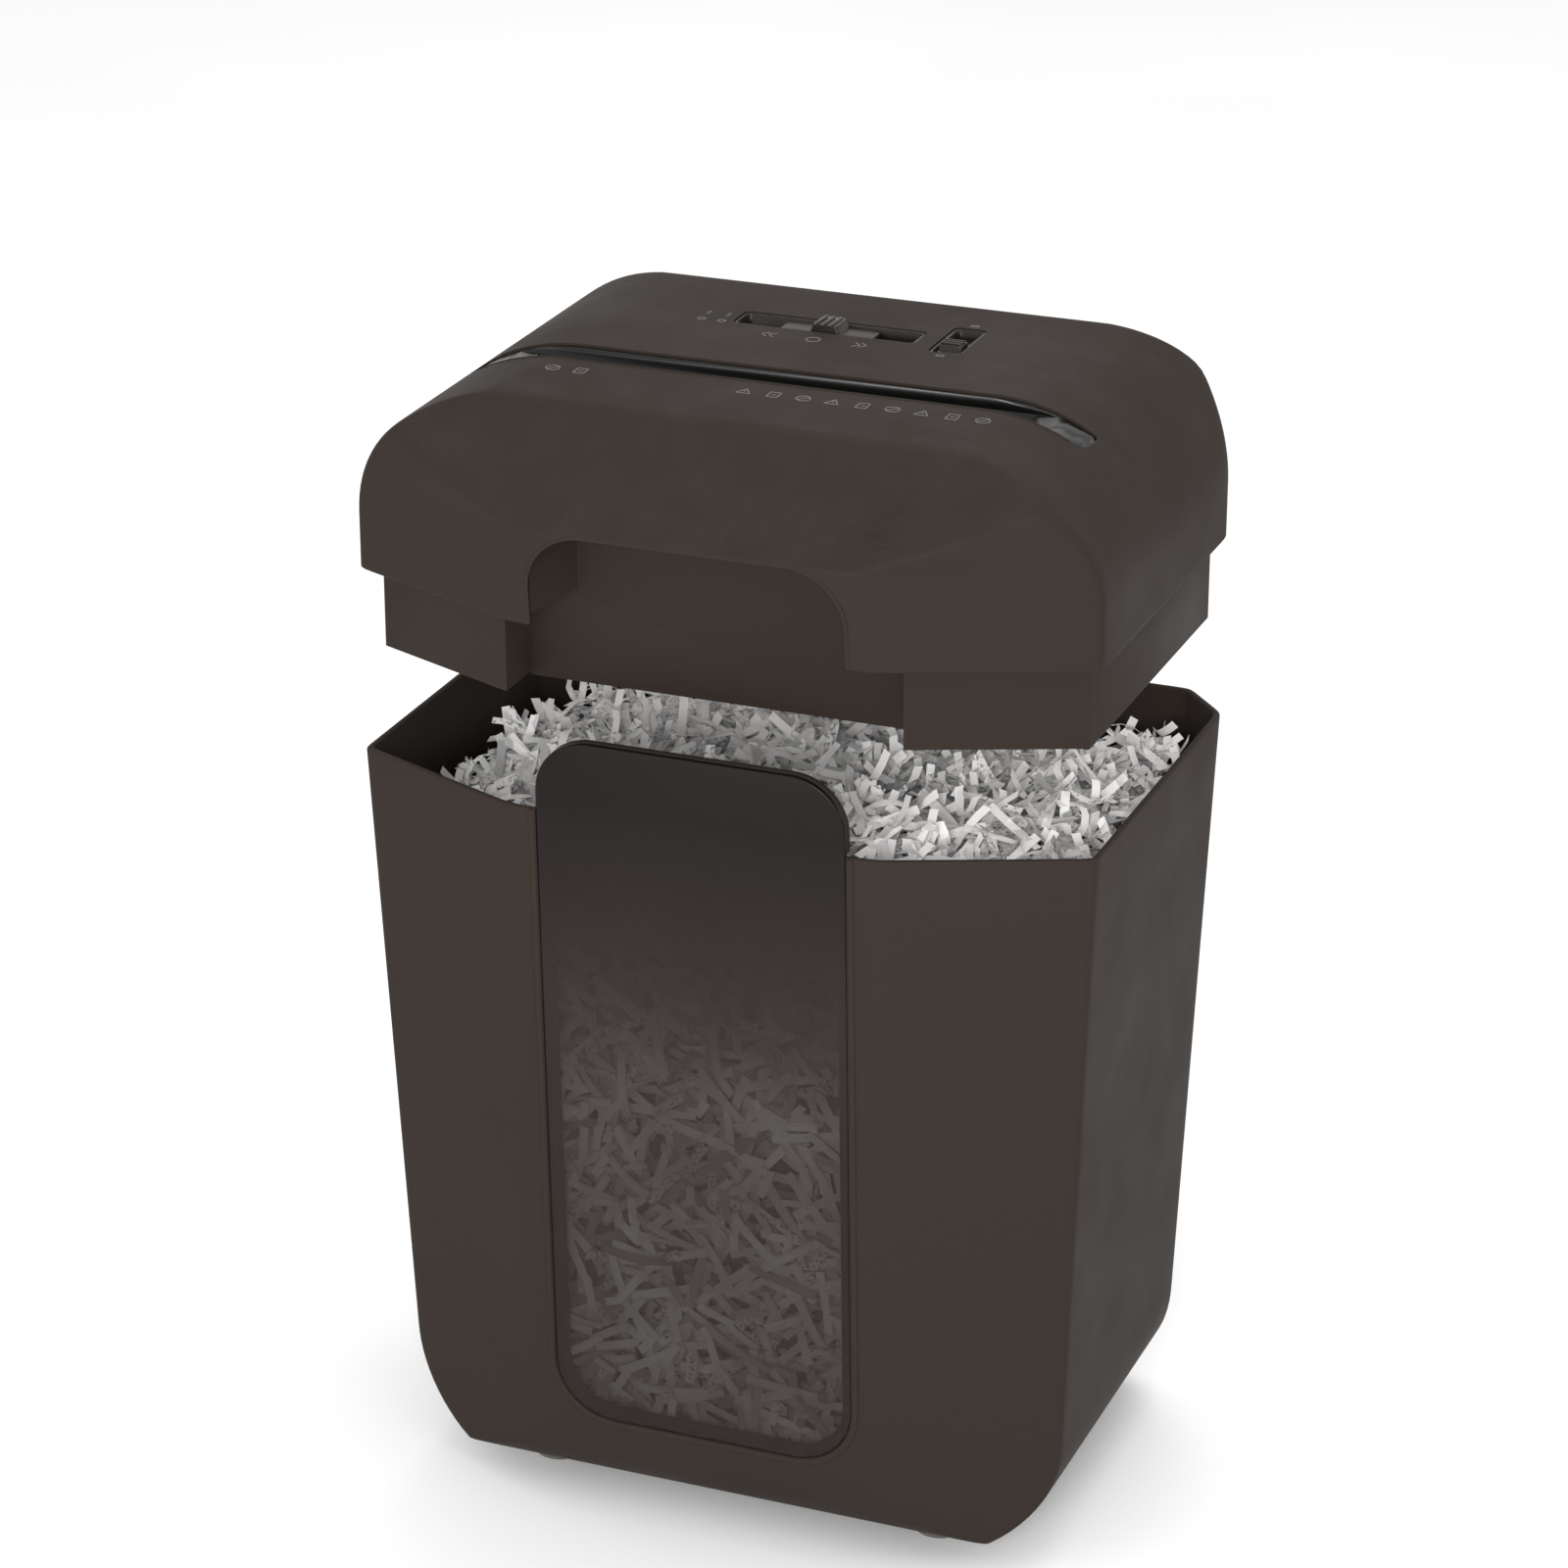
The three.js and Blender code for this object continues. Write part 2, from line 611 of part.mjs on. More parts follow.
// ---- Throat insert ----
function throatInsert() {
  const half = throatBandLength / 2;
  const band = throatBandWidth / 2;
  const low = coverTop - throatDrop;
  const lip = throatCentreY + band - 2.2;
  const slotHalf = paperGap / 2;
  const funnel = polygon([
    [2 * throatCentreY - lip, coverTop + 5], [2 * throatCentreY - lip, coverTop - 4],
    [throatCentreY - slotHalf, coverTop - 20], [throatCentreY - slotHalf, low - 5],
    [throatCentreY + slotHalf, low - 5], [throatCentreY + slotHalf, coverTop - 20],
    [lip, coverTop - 4], [lip, coverTop + 5],
  ]);
  const scoop = polygon([
    [2 * throatCentreY - lip, coverTop + 5], [2 * throatCentreY - lip, coverTop - 5.5],
    [lip, coverTop - 5.5], [lip, coverTop + 5],
  ]);
  const scoopHalf = half - 2.2;
  const neck = paperGap / 2 + 2.2;
  const body = join(
    block(-half, half, throatCentreY - band, throatCentreY + band, coverTop - 22, coverTop),
    block(-paperWidth / 2 - throatCheek, paperWidth / 2 + throatCheek, ...around(throatCentreY, neck),
      low, coverTop - 20),
  );
  const crowned = common(body, coverBody(0.8, coverBase));
  return cut(
    crowned,
    prismX(funnel, -paperWidth / 2, paperWidth / 2),
    common(prismX(scoop, -scoopHalf, scoopHalf), block(-half, half, -binDepth, binDepth,
      coverTop - 5.5, coverTop + 5)),
    block(-flagWidth / 2 - 1.5, flagWidth / 2 + 1.5, throatCentreY, throatCentreY + band + 5,
      flagPivotZ - 15, coverTop - 12),
  );
}

function sensorFlag() {
  const arm = polygon([
    [flagPivotY + 3.2, flagPivotZ - 3], [flagPivotY + 3.2, flagPivotZ + 3],
    [flagPivotY - 3, flagPivotZ + 3],
    [throatCentreY - 1.5, flagPivotZ - 3], [throatCentreY - 1.5, flagPivotZ - 6],
    [throatCentreY + 2, flagPivotZ - 6], [flagPivotY - 3, flagPivotZ - 3],
  ]);
  return join(
    prismX(arm, -flagWidth / 2, flagWidth / 2),
    rodX(-flagWidth / 2 - 4, flagWidth / 2 + 4, flagPivotY, flagPivotZ, flagPinRadius, 12),
  );
}

function sensorBody() {
  const half = flagWidth / 2;
  const bracket = block(-half - 6, half + 6, flagPivotY - 5, flagPivotY + 14, flagPivotZ - 8, flagPivotZ + 8);
  const pocket = block(...around(0, half + 1), flagPivotY - 10, flagPivotY + 8,
    ...around(flagPivotZ, 20));
  const bore = rodX(-half - 5, half + 5, flagPivotY, flagPivotZ, flagPinRadius + fitGap, 12);
  return cut(bracket, pocket, bore);
}

// ---- Controls ----
function tray(length, width, slotLength, slotWidth) {
  const top = coverTop - 0.5;
  const low = coverTop - bezelDepth;
  const outer = rectangle(-length / 2, length / 2, -width / 2, width / 2, 3);
  const inner = rectangle(-length / 2 + bezelRim, length / 2 - bezelRim, -width / 2 + bezelRim,
    width / 2 - bezelRim, 2);
  return cut(
    prismZ(outer, low, top, 3),
    prismZ(inner, low + bezelFloor, top + 5, 3),
    block(-slotLength / 2, slotLength / 2, -slotWidth / 2, slotWidth / 2, low - 5, top),
  );
}

function slider(length, width, gripLength, gripRise, ribs) {
  const floor = coverTop - bezelDepth + bezelFloor + fitGap;
  const plateTop = floor + 2;
  const gripTop = coverTop + gripRise;
  const pieces = [
    prismZ(rectangle(-length / 2, length / 2, -width / 2, width / 2, 1.5), floor, plateTop, 3),
    block(-gripLength / 2, gripLength / 2, -width / 2, width / 2, floor, gripTop),
    block(-stemWidth / 2, stemWidth / 2, -stemWidth / 2, stemWidth / 2, floor - 8, floor + 1),
  ];
  const grooves = [];
  for (let i = 0; i < ribs; i += 1) {
    const x = ((i + 0.5) / ribs - 0.5) * gripLength;
    grooves.push(block(x - 0.5, x + 0.5, -width, width, gripTop - 0.8, gripTop + 1));
  }
  return cut(join(...pieces), ...grooves);
}

function switchBezel() {
  const slot = 2 * switchTravel + stemWidth + 1;
  return tray(switchBezelLength, switchBezelWidth, slot, stemWidth + 1)
    .translate([switchCentreX, switchCentreY, 0]);
}

function modeSwitch() {
  const width = switchBezelWidth - 2 * bezelRim - 2 * fitGap - 0.4;
  return slider(44, width, 13, 3.4, 3).translate([switchCentreX, switchCentreY, 0]);
}

function lockBezel() {
  const slot = lockTravel + stemWidth + 1;
  return tray(lockBezelLength, lockBezelWidth, slot, stemWidth + 1)
    .rotate([0, 0, 90]).translate([lockCentreX, lockCentreY, 0]);
}

function safetyLock() {
  const width = lockBezelWidth - 2 * bezelRim - 2 * fitGap - 0.4;
  const shift = lockTravel / 2;
  return slider(17, width, 9, 1.6, 3).rotate([0, 0, 90]).translate([lockCentreX, lockCentreY - shift, 0]);
}

function lightPipe(side) {
  const x = ledCentreX + (side * ledSpacing) / 2;
  const shape = rectangle(x - ledWidth / 2, x + ledWidth / 2, ledCentreY - ledLength / 2,
    ledCentreY + ledLength / 2, 1);
  return prismZ(shape, boardTop + fitGap, coverTop + 0.2, 3);
}

function controlBoard() {
  const board = block(-70, 32, 38, 84, boardTop - boardThickness, boardTop);
  const relay = block(-62, -46, 66, 80, boardTop - 0.5, boardTop + 9);
  const transformer = block(-40, -22, 66, 82, boardTop - 0.5, boardTop + 8);
  return join(board, relay, transformer);
}

function modeSwitchBody() {
  const low = boardTop + fitGap;
  const high = coverTop - bezelDepth - fitGap;
  const body = block(...around(switchCentreX, 30), switchCentreY - 6, switchCentreY + 3.5, low, high);
  const travel = switchTravel + stemWidth / 2 + 1;
  return cut(body, block(switchCentreX - travel, switchCentreX + travel, switchCentreY - stemWidth / 2 - 0.6,
    switchCentreY + stemWidth / 2 + 0.6, high - 8, high + 5));
}

// ---- Interlock: a plunger that the bin's rib meets, and the switch above it ----
function interlockPlunger() {
  const low = ribTop + plungerPlay;
  return join(
    rodZ(low, plungerTop, plungerX, plungerY, plungerRadius, 14),
    rodZ(deckTop + fitGap, deckTop + 3, plungerX, plungerY, plungerRadius + 2, 14),
  );
}

function interlockSwitch() {
  const base = plungerTop + plungerTravel + 1;
  return block(...around(plungerX, 10), ...around(plungerY, interlockSwitchHalf), base, base + 14);
}

// ---- Cutting block ----
function cutter(axisY, offset, shaftEnd) {
  const start = -discCount * discPitch / 2;
  const profile = [[0, -sideFrameX - 1]];
  const push = (radius, x) => profile.push([radius, x]);
  push(shaftRadius, -sideFrameX - 1);
  push(shaftRadius, start - 1);
  for (let i = 0; i < discCount; i += 1) {
    const x = start + i * discPitch + offset;
    push(spacerRadius, i === 0 ? start - 1 : x);
    if (i > 0 || x > start - 1) push(spacerRadius, x);
    push(discRadius, x);
    push(discRadius, x + discWidth);
    push(spacerRadius, x + discWidth);
  }
  push(spacerRadius, -start + 1);
  push(shaftRadius, -start + 1);
  push(shaftRadius, shaftEnd);
  push(0, shaftEnd);
  const points = profile
    .filter(([r, x], i) => i === 0 || r !== profile[i - 1][0] || x !== profile[i - 1][1])
    .map(([r, x]) => new THREE.Vector2(r, x));
  const turned = new THREE.LatheGeometry(points, 14);
  return solidFrom(turned.rotateZ(-Math.PI / 2).translate(0, axisY, cutterZ));
}

function sideFrame(side) {
  const plate = polygon([
    [frontCutterY - 28, deckTop + fitGap], [motorY + 30, deckTop + fitGap], [motorY + 30, motorZ + 20],
    [motorY - 10, motorZ + 31], [frontCutterY - 6, cutterZ + 32], [frontCutterY - 28, cutterZ + 26],
  ]);
  const x0 = side > 0 ? sideFrameX : -sideFrameX - sideFrameThickness;
  const x1 = x0 + sideFrameThickness;
  const bores = [frontCutterY, rearCutterY].map((y) => rodX(x0 - 5, x1 + 5, y, cutterZ,
    bearingRadius + fitGap, 16));
  bores.push(rodX(x0 - 5, x1 + 5, motorY, motorZ, 8, 12));
  bores.push(rodX(x0 - 5, x1 + 5, idlerY, idlerZ, idlerPin + fitGap, 12));
  for (const [y, z] of tiePlaces) {
    bores.push(rodX(x0 - 5, x1 + 5, y, z, tieRadius + fitGap, 12));
  }
  return cut(prismX(plate, x0, x1), ...bores);
}

function tieRod([y, z]) {
  const reach = sideFrameX + sideFrameThickness;
  return join(
    rodX(-reach - 3, reach + 3, y, z, tieRadius, 12),
    rodX(-sideFrameX + fitGap, sideFrameX - fitGap, y, z, tieRadius + 1.5, 12),
  );
}

function bearing(side, y) {
  const half = sideFrameThickness / 2 + 1.2;
  const ring = [
    [shaftRadius + runningGap, -half], [bearingRadius, -half], [bearingRadius, half],
    [shaftRadius + runningGap, half], [shaftRadius + runningGap, -half],
  ].map(([r, x]) => new THREE.Vector2(r, x));
  const centre = side * (sideFrameX + sideFrameThickness / 2);
  return solidFrom(new THREE.LatheGeometry(ring, 16).rotateZ(-Math.PI / 2).translate(centre, y, cutterZ));
}

// Comb whose fingers reach between the discs and stop short of the spacers.
function stripper(axisY, side, offset) {
  const far = axisY + side * (discRadius + 5);
  const near = axisY + side * (spacerRadius + 1);
  const spine = block(-sideFrameX + 1, sideFrameX - 1, Math.min(far, far + side * 3),
    Math.max(far, far + side * 3), cutterZ - 14, cutterZ + 4);
  const start = -discCount * discPitch / 2 + offset + discWidth;
  const fingerWidth = discPitch - discWidth - 3;
  const fingers = [];
  for (let i = 0; i < discCount - 1; i += 1) {
    const x = start + i * discPitch + 1.5;
    fingers.push(block(x, x + fingerWidth, Math.min(near, far + side), Math.max(near, far + side),
      cutterZ - 4, cutterZ));
  }
  return join(spine, ...fingers);
}

// ---- Gears ----
function involute(angle) {
  return Math.tan(angle) - angle;
}

// Involute gear outline in the (y, z) plane with a tooth centred on the angle called phase.
function gearShape(teeth, size, play, phase, centreY, centreZ) {
  const pressure = THREE.MathUtils.degToRad(20);
  const pitch = (size * teeth) / 2;
  const baseCircle = pitch * Math.cos(pressure);
  const root = pitch - 1.2 * size;
  const tip = pitch + 0.8 * size;
  const halfAt = (radius) => {
    const slope = radius > baseCircle ? Math.acos(baseCircle / radius) : 0;
    return Math.PI / (2 * teeth) - play / (2 * pitch) + involute(pressure) - involute(slope);
  };
  const radii = [root, Math.max(root + 0.1 * size, baseCircle), tip];
  const points = [];
  for (let i = 0; i < teeth; i += 1) {
    const centre = phase + (i * 2 * Math.PI) / teeth;
    for (const radius of radii) points.push([radius, centre - halfAt(radius)]);
    for (const radius of [...radii].reverse()) points.push([radius, centre + halfAt(radius)]);
  }
  return polygon(points.map(([r, a]) => [centreY + r * Math.cos(a), centreZ + r * Math.sin(a)]));
}

function gear(teeth, size, phase, y, z, x0, x1, bore) {
  const play = 0.22 * size;
  const wheel = prismX(gearShape(teeth, size, play, phase, y, z), x0, x1);
  return bore ? cut(wheel, rodX(x0 - 1, x1 + 1, y, z, bore, 20)) : wheel;
}

function syncGear(axisY, phase) {
  return gear(smallTeeth, syncModule, phase, axisY, cutterZ, nearRow, nearRow + gearFace,
    shaftRadius + keyFit);
}

function driveGear() {
  return gear(driveTeeth, driveModule, trainAngle, rearCutterY, cutterZ, farRow, farRow + gearFace,
    shaftRadius + keyFit);
}

function idlerWheel() {
  return gear(driveTeeth, motorModule, trainAngle, idlerY, idlerZ, nearRow, nearRow + gearFace,
    idlerPin + runningGap);
}

function idlerPinion() {
  const gapPhase = trainAngle + Math.PI + Math.PI / smallTeeth;
  return gear(smallTeeth, driveModule, gapPhase, idlerY, idlerZ, nearRow + gearFace + fitGap,
    farRow + gearFace, idlerPin + runningGap);
}

function idlerAxle() {
  return join(
    rodX(sideFrameX - 2, farRow + gearFace + 4, idlerY, idlerZ, idlerPin, 16),
    rodX(sideFrameX - 5, sideFrameX - fitGap, idlerY, idlerZ, idlerPin + 2.5, 16),
  );
}

function motorPinion() {
  const gapPhase = trainAngle + Math.PI + Math.PI / smallTeeth;
  return join(
    gear(smallTeeth, motorModule, gapPhase, motorY, motorZ, nearRow, nearRow + gearFace, 0),
    rodX(armatureEnd + fitGap, nearRow + 1, motorY, motorZ, motorShaftRadius, 16),
  );
}

// Wound rotor inside the motor, on the pinion's shaft.
function motorArmature() {
  const start = armatureEnd - armatureLength;
  return join(
    rodX(start, armatureEnd, motorY, motorZ, armatureRadius, 20),
    rodX(start - 14, start + 1, motorY, motorZ, armatureRadius - 7, 16),
  );
}

function motor() {
  const back = motorNose - 6 - motorLength;
  const stack = common(
    rodX(back, motorNose - 6, motorY, motorZ, motorRadius, 24),
    block(back, motorNose, motorY - motorRadius + 3, motorY + motorRadius - 3,
      motorZ - motorRadius, motorZ + motorRadius),
  );
  return cut(
    join(stack, rodX(motorNose - 8, motorNose, motorY, motorZ, 14, 20)),
    rodX(back + 4, motorNose - 12, motorY, motorZ, armatureRadius + armatureGap, 20),
    rodX(motorNose - 14, motorNose + 5, motorY, motorZ, motorShaftRadius + runningGap, 16),
  );
}

function capacitor() {
  const start = -sideFrameX + 22;
  const axisY = plungerY - interlockSwitchHalf - 1 - capacitorRadius;
  return rodX(start, start + 40, axisY, motorZ - 8, capacitorRadius, 20);
}

function cordGland() {
  const flange = rodY(rearY, rearY + glandFlange, glandX, glandZ, glandBore + 3, 24);
  const barrel = rodY(rearY - coverWall - 6, rearY + 1, glandX, glandZ, glandBore, 20);
  const nut = rodY(rearY - coverWall - 6, rearY - coverWall - fitGap, glandX, glandZ, glandBore + 3, 6);
  return cut(join(flange, barrel, nut),
    rodY(rearY - 20, rearY + 5, glandX, glandZ, cordBore, 16));
}

function screw([x, y]) {
  return join(
    rodZ(deckBase - 3, deckBase - fitGap, x, y, 3.6, 14),
    rodZ(deckBase - 1, deckTop + 18, x, y, screwRadius, 10),
  );
}

// ---- Assembly ----
const finishes = {
  case: [0x2b2825, 0.55, 0],
  panel: [0x211d1b, 0.3, 0],
  gloss: [0x0b0a0a, 0.12, 0],
  control: [0x1d1b19, 0.45, 0],
  rubber: [0x6b6863, 0.8, 0],
  paper: [0xdedcd6, 0.85, 0],
  steel: [0x8c8f92, 0.4, 0.9],
  nylon: [0xcfc8b4, 0.5, 0],
  board: [0x1f5a36, 0.5, 0],
  lens: [0x6f7f76, 0.25, 0],
};

function piece(parent, name, finish, solid) {
  const [color, roughness, metalness] = finishes[finish];
  const material = new THREE.MeshStandardMaterial({ color, roughness, metalness });
  const mesh = new THREE.Mesh(geometryFrom(solid), material);
  mesh.name = name;
  parent.add(mesh);
}

const shredder = new THREE.Group();
const bin = new THREE.Group();
const head = new THREE.Group();
shredder.add(bin, head);
bin.position.y = -depthCentre;
head.position.set(0, -depthCentre, headLift);

piece(bin, 'bin_shell', 'case', binShell());
piece(bin, 'window_panel', 'panel', windowPanel());
piece(bin, 'tongue_backing', 'case', tongueBacking());
piece(bin, 'shredded_paper', 'paper', paperHeap());
for (const [name, side] of [['left', -1], ['right', 1]]) {
  piece(bin, `foot_front_${name}`, 'rubber', foot((side * footSpacingX) / 2, frontY + footFrontSetback));
  piece(bin, `foot_rear_${name}`, 'rubber', foot((side * footSpacingX) / 2, rearY - footRearSetback));
}

piece(head, 'top_cover', 'case', topCover());
piece(head, 'lower_housing', 'case', lowerHousing());
piece(head, 'grip_recess', 'case', gripRecess());
piece(head, 'throat_insert', 'gloss', throatInsert());
piece(head, 'switch_bezel', 'control', switchBezel());
piece(head, 'mode_switch', 'control', modeSwitch());
piece(head, 'lock_bezel', 'control', lockBezel());
piece(head, 'safety_lock', 'control', safetyLock());
piece(head, 'led_power', 'lens', lightPipe(-1));
piece(head, 'led_overheat', 'lens', lightPipe(1));
piece(head, 'control_board', 'board', controlBoard());
piece(head, 'mode_switch_body', 'control', modeSwitchBody());
piece(head, 'sensor_flag', 'nylon', sensorFlag());
piece(head, 'sensor_body', 'control', sensorBody());
piece(head, 'interlock_plunger', 'nylon', interlockPlunger());
piece(head, 'interlock_switch', 'control', interlockSwitch());
piece(head, 'cutter_front', 'steel', cutter(frontCutterY, discPitch / 2, nearRow + gearFace + 1));
piece(head, 'cutter_rear', 'steel', cutter(rearCutterY, 0, farRow + gearFace + 3));
for (const [name, side] of [['left', -1], ['right', 1]]) {
  piece(head, `side_frame_${name}`, 'steel', sideFrame(side));
  piece(head, `bearing_front_${name}`, 'nylon', bearing(side, frontCutterY));
  piece(head, `bearing_rear_${name}`, 'nylon', bearing(side, rearCutterY));
}
tiePlaces.forEach((place, i) => piece(head, `tie_rod_${i + 1}`, 'steel', tieRod(place)));
piece(head, 'stripper_front', 'nylon', stripper(frontCutterY, -1, discPitch / 2));
piece(head, 'stripper_rear', 'nylon', stripper(rearCutterY, 1, 0));
piece(head, 'sync_gear_rear', 'steel', syncGear(rearCutterY, Math.PI));
piece(head, 'sync_gear_front', 'steel', syncGear(frontCutterY, Math.PI / smallTeeth));
piece(head, 'drive_gear', 'nylon', driveGear());
piece(head, 'idler_wheel', 'nylon', idlerWheel());
piece(head, 'idler_pinion', 'steel', idlerPinion());
piece(head, 'idler_axle', 'steel', idlerAxle());
piece(head, 'motor_pinion', 'steel', motorPinion());
piece(head, 'motor_armature', 'steel', motorArmature());
piece(head, 'motor', 'steel', motor());
piece(head, 'motor_capacitor', 'gloss', capacitor());
piece(head, 'cord_gland', 'rubber', cordGland());
bossPlaces.forEach((place, i) => piece(head, `screw_${i + 1}`, 'steel', screw(place)));

export default shredder;
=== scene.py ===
"""Visual model of a desk-side paper shredder whose cutting head is being lifted off its bin."""
import json
import math

import bmesh
import bpy
import numpy as np
from bpy.props import FloatProperty, FloatVectorProperty, IntProperty, PointerProperty
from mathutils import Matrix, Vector


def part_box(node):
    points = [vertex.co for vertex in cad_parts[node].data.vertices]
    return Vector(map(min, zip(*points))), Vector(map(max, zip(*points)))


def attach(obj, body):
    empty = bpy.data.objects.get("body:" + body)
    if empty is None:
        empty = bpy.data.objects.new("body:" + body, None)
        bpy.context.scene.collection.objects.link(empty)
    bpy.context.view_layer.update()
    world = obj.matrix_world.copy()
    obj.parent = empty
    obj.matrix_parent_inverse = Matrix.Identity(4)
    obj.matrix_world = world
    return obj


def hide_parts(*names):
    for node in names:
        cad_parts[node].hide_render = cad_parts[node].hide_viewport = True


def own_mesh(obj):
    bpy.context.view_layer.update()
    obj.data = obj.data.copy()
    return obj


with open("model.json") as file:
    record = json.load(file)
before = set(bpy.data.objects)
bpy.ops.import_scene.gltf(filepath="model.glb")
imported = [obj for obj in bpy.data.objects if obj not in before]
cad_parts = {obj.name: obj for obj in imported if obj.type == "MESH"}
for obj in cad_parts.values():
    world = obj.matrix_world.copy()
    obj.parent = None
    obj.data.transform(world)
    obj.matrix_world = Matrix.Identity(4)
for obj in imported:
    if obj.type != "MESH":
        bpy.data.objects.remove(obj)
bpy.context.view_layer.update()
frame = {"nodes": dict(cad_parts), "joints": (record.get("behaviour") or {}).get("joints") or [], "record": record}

bl_info = {
    "name": "Paper shredder builder",
    "version": (1, 0, 0),
    "blender": (4, 5, 0),
    "location": "3D View > Sidebar > Shredder",
    "description": "Builds the detailed bodywork, paper and controls of a paper shredder on its frame",
    "category": "Object",
}

# ---- The frame: sizes and places, in metres ----
MM = 0.001
BIN_LOW, BIN_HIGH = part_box("bin_shell")
COVER_LOW, COVER_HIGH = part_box("top_cover")
SKIRT_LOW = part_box("lower_housing")[0]
PANEL_LOW, PANEL_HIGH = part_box("window_panel")
RIM = BIN_HIGH.z
BASE = BIN_LOW.z
TOP = COVER_HIGH.z
HALF = BIN_HIGH.x
FRONT = BIN_LOW.y
REAR = BIN_HIGH.y
NOSE = COVER_LOW.y
HEAD_LIFT = -next(j for j in frame["joints"] if j["name"] == "head_lift")["range_m"][0]
FIT_GAP = 0.3 * MM
COVER_BASE = RIM + HEAD_LIFT + FIT_GAP

# Bin form
WALL = 3 * MM
FACET = 84 * MM
FRONT_BOW = 36 * MM
CHAMFER_X = 22 * MM
CHAMFER_Y = 24 * MM
SIDE_DRAFT = math.radians(2.4)
FRONT_DRAFT = math.radians(2.2)
REAR_DRAFT = math.radians(1.2)
SIDE_BEND = 58 * MM
FRONT_BEND = 48 * MM
REAR_BEND = 20 * MM
RIM_ROUND = 1.2 * MM

# Window and tongue
PANEL_HALF = PANEL_HIGH.x
PANEL_THICK = 2.4 * MM
PANEL_LOWER_ROUND = 28 * MM
PANEL_UPPER_ROUND = 25 * MM
SEAT_LIP = 5 * MM
FRAME_THICK = 2.6 * MM

# Cover form
CROWN_FLAT = 95 * MM
SHOULDER = 26 * MM
REAR_ROUND = 14 * MM
NOSE_RISE = 43 * MM
LIP_SETBACK = 4.8 * MM
STRIP_EDGE = NOSE + 47 * MM
STRIP_DROP = 1.2 * MM
FASCIA_SAG = 2.5 * MM
THROAT_Y = -14.5 * MM
SHELL_THICK = 2.2 * MM
ARCH_HALF = 71.9 * MM
ARCH_RISE = 43.3 * MM
ARCH_ROUND = 26 * MM
VENT_COUNT = 9
VENT_PITCH = 10 * MM
VENT_WIDTH = 4.5 * MM
VENT_START = 4 * MM
VENT_RISE = (14 * MM, 40 * MM)

# Printed marks
INK = 0.12 * MM
STROKE = 0.5 * MM
ICON_SIZE = 6.2 * MM
ICON_PITCH = 13.4 * MM
ICON_ROW = -38 * MM
ICON_START = -6 * MM
ICON_COUNT = 9
ICONS_LEFT = (-95 * MM, -82 * MM)

# Colours that several finishes share
DUST = (0.16, 0.15, 0.14)
# Near-black end of the paper's colour: faded print on the strips, and painted shade on the packed paper.
INK_AND_SHADE_DARK = (0.03, 0.03, 0.035)

# Sockets of the colour Mix node
MIX_MASK, MIX_FIRST, MIX_SECOND, MIX_RESULT = 0, 6, 7, 2


# ---- Settings ----
class ShredderSizes(bpy.types.PropertyGroup):
    bead_width: FloatProperty(
        name="Window bead width", description="Raised bead moulded round the window",
        default=3.0 * MM, min=1 * MM, max=6 * MM, unit="LENGTH")
    bead_height: FloatProperty(
        name="Window bead height", description="How far the bead stands proud of the bin",
        default=0.9 * MM, min=0.2 * MM, max=2 * MM, unit="LENGTH")
    shred_width: FloatProperty(
        name="Shred width", description="Width of one cut strip of paper",
        default=4.0 * MM, min=2 * MM, max=8 * MM, unit="LENGTH")
    shred_shortest: FloatProperty(
        name="Shortest shred", description="Length of the shortest strips",
        default=12 * MM, min=6 * MM, max=20 * MM, unit="LENGTH")
    shred_longest: FloatProperty(
        name="Longest shred", description="Length of the longest strips",
        default=38 * MM, min=20 * MM, max=60 * MM, unit="LENGTH")
    heap_shreds: IntProperty(
        name="Shreds on the heap", description="Loose strips lying on top of the heap",
        default=3000, min=500, max=6000)
    window_shreds: IntProperty(
        name="Shreds at the window", description="Strips lying against the window",
        default=1300, min=200, max=3000)
    seed: IntProperty(
        name="Seed", description="Start of the random draws for the paper", default=7, min=0, max=999)


class ShredderColours(bpy.types.PropertyGroup):
    case: FloatVectorProperty(
        name="Case", description="Matte moulded plastic of the bin and head",
        default=(0.0262, 0.0200, 0.0166), subtype="COLOR", min=0, max=1)
    smoke: FloatVectorProperty(
        name="Smoked panel", description="Tint of the window",
        default=(0.0200, 0.0140, 0.0125), subtype="COLOR", min=0, max=1)
    gloss: FloatVectorProperty(
        name="Throat", description="Glossy plastic round the paper slot",
        default=(0.0035, 0.0033, 0.0030), subtype="COLOR", min=0, max=1)
    control: FloatVectorProperty(
        name="Controls", description="Satin plastic of the switch and lock",
        default=(0.0110, 0.0088, 0.0072), subtype="COLOR", min=0, max=1)
    paper: FloatVectorProperty(
        name="Paper", description="Office paper", default=(0.93, 0.915, 0.90), subtype="COLOR", min=0, max=1)
    printing: FloatVectorProperty(
        name="Printed marks", description="Grey ink of the symbols",
        default=(0.16, 0.15, 0.145), subtype="COLOR", min=0, max=1)


def sizes():
    return bpy.context.scene.shredder_sizes


def colours():
    return bpy.context.scene.shredder_colours


# ---- Node groups shared by the materials ----
def new_group(name, inputs, outputs):
    group = bpy.data.node_groups.new(name, "ShaderNodeTree")
    for label, value in inputs.items():
        socket = group.interface.new_socket(label, in_out="INPUT", socket_type="NodeSocketFloat")
        socket.default_value = value
    for label, kind in outputs.items():
        group.interface.new_socket(label, in_out="OUTPUT", socket_type=kind)
    start = group.nodes.new("NodeGroupInput")
    end = group.nodes.new("NodeGroupOutput")
    return group, start, end


def wire(tree, source, output, target, entry):
    tree.links.new(source.outputs[output], target.inputs[entry])


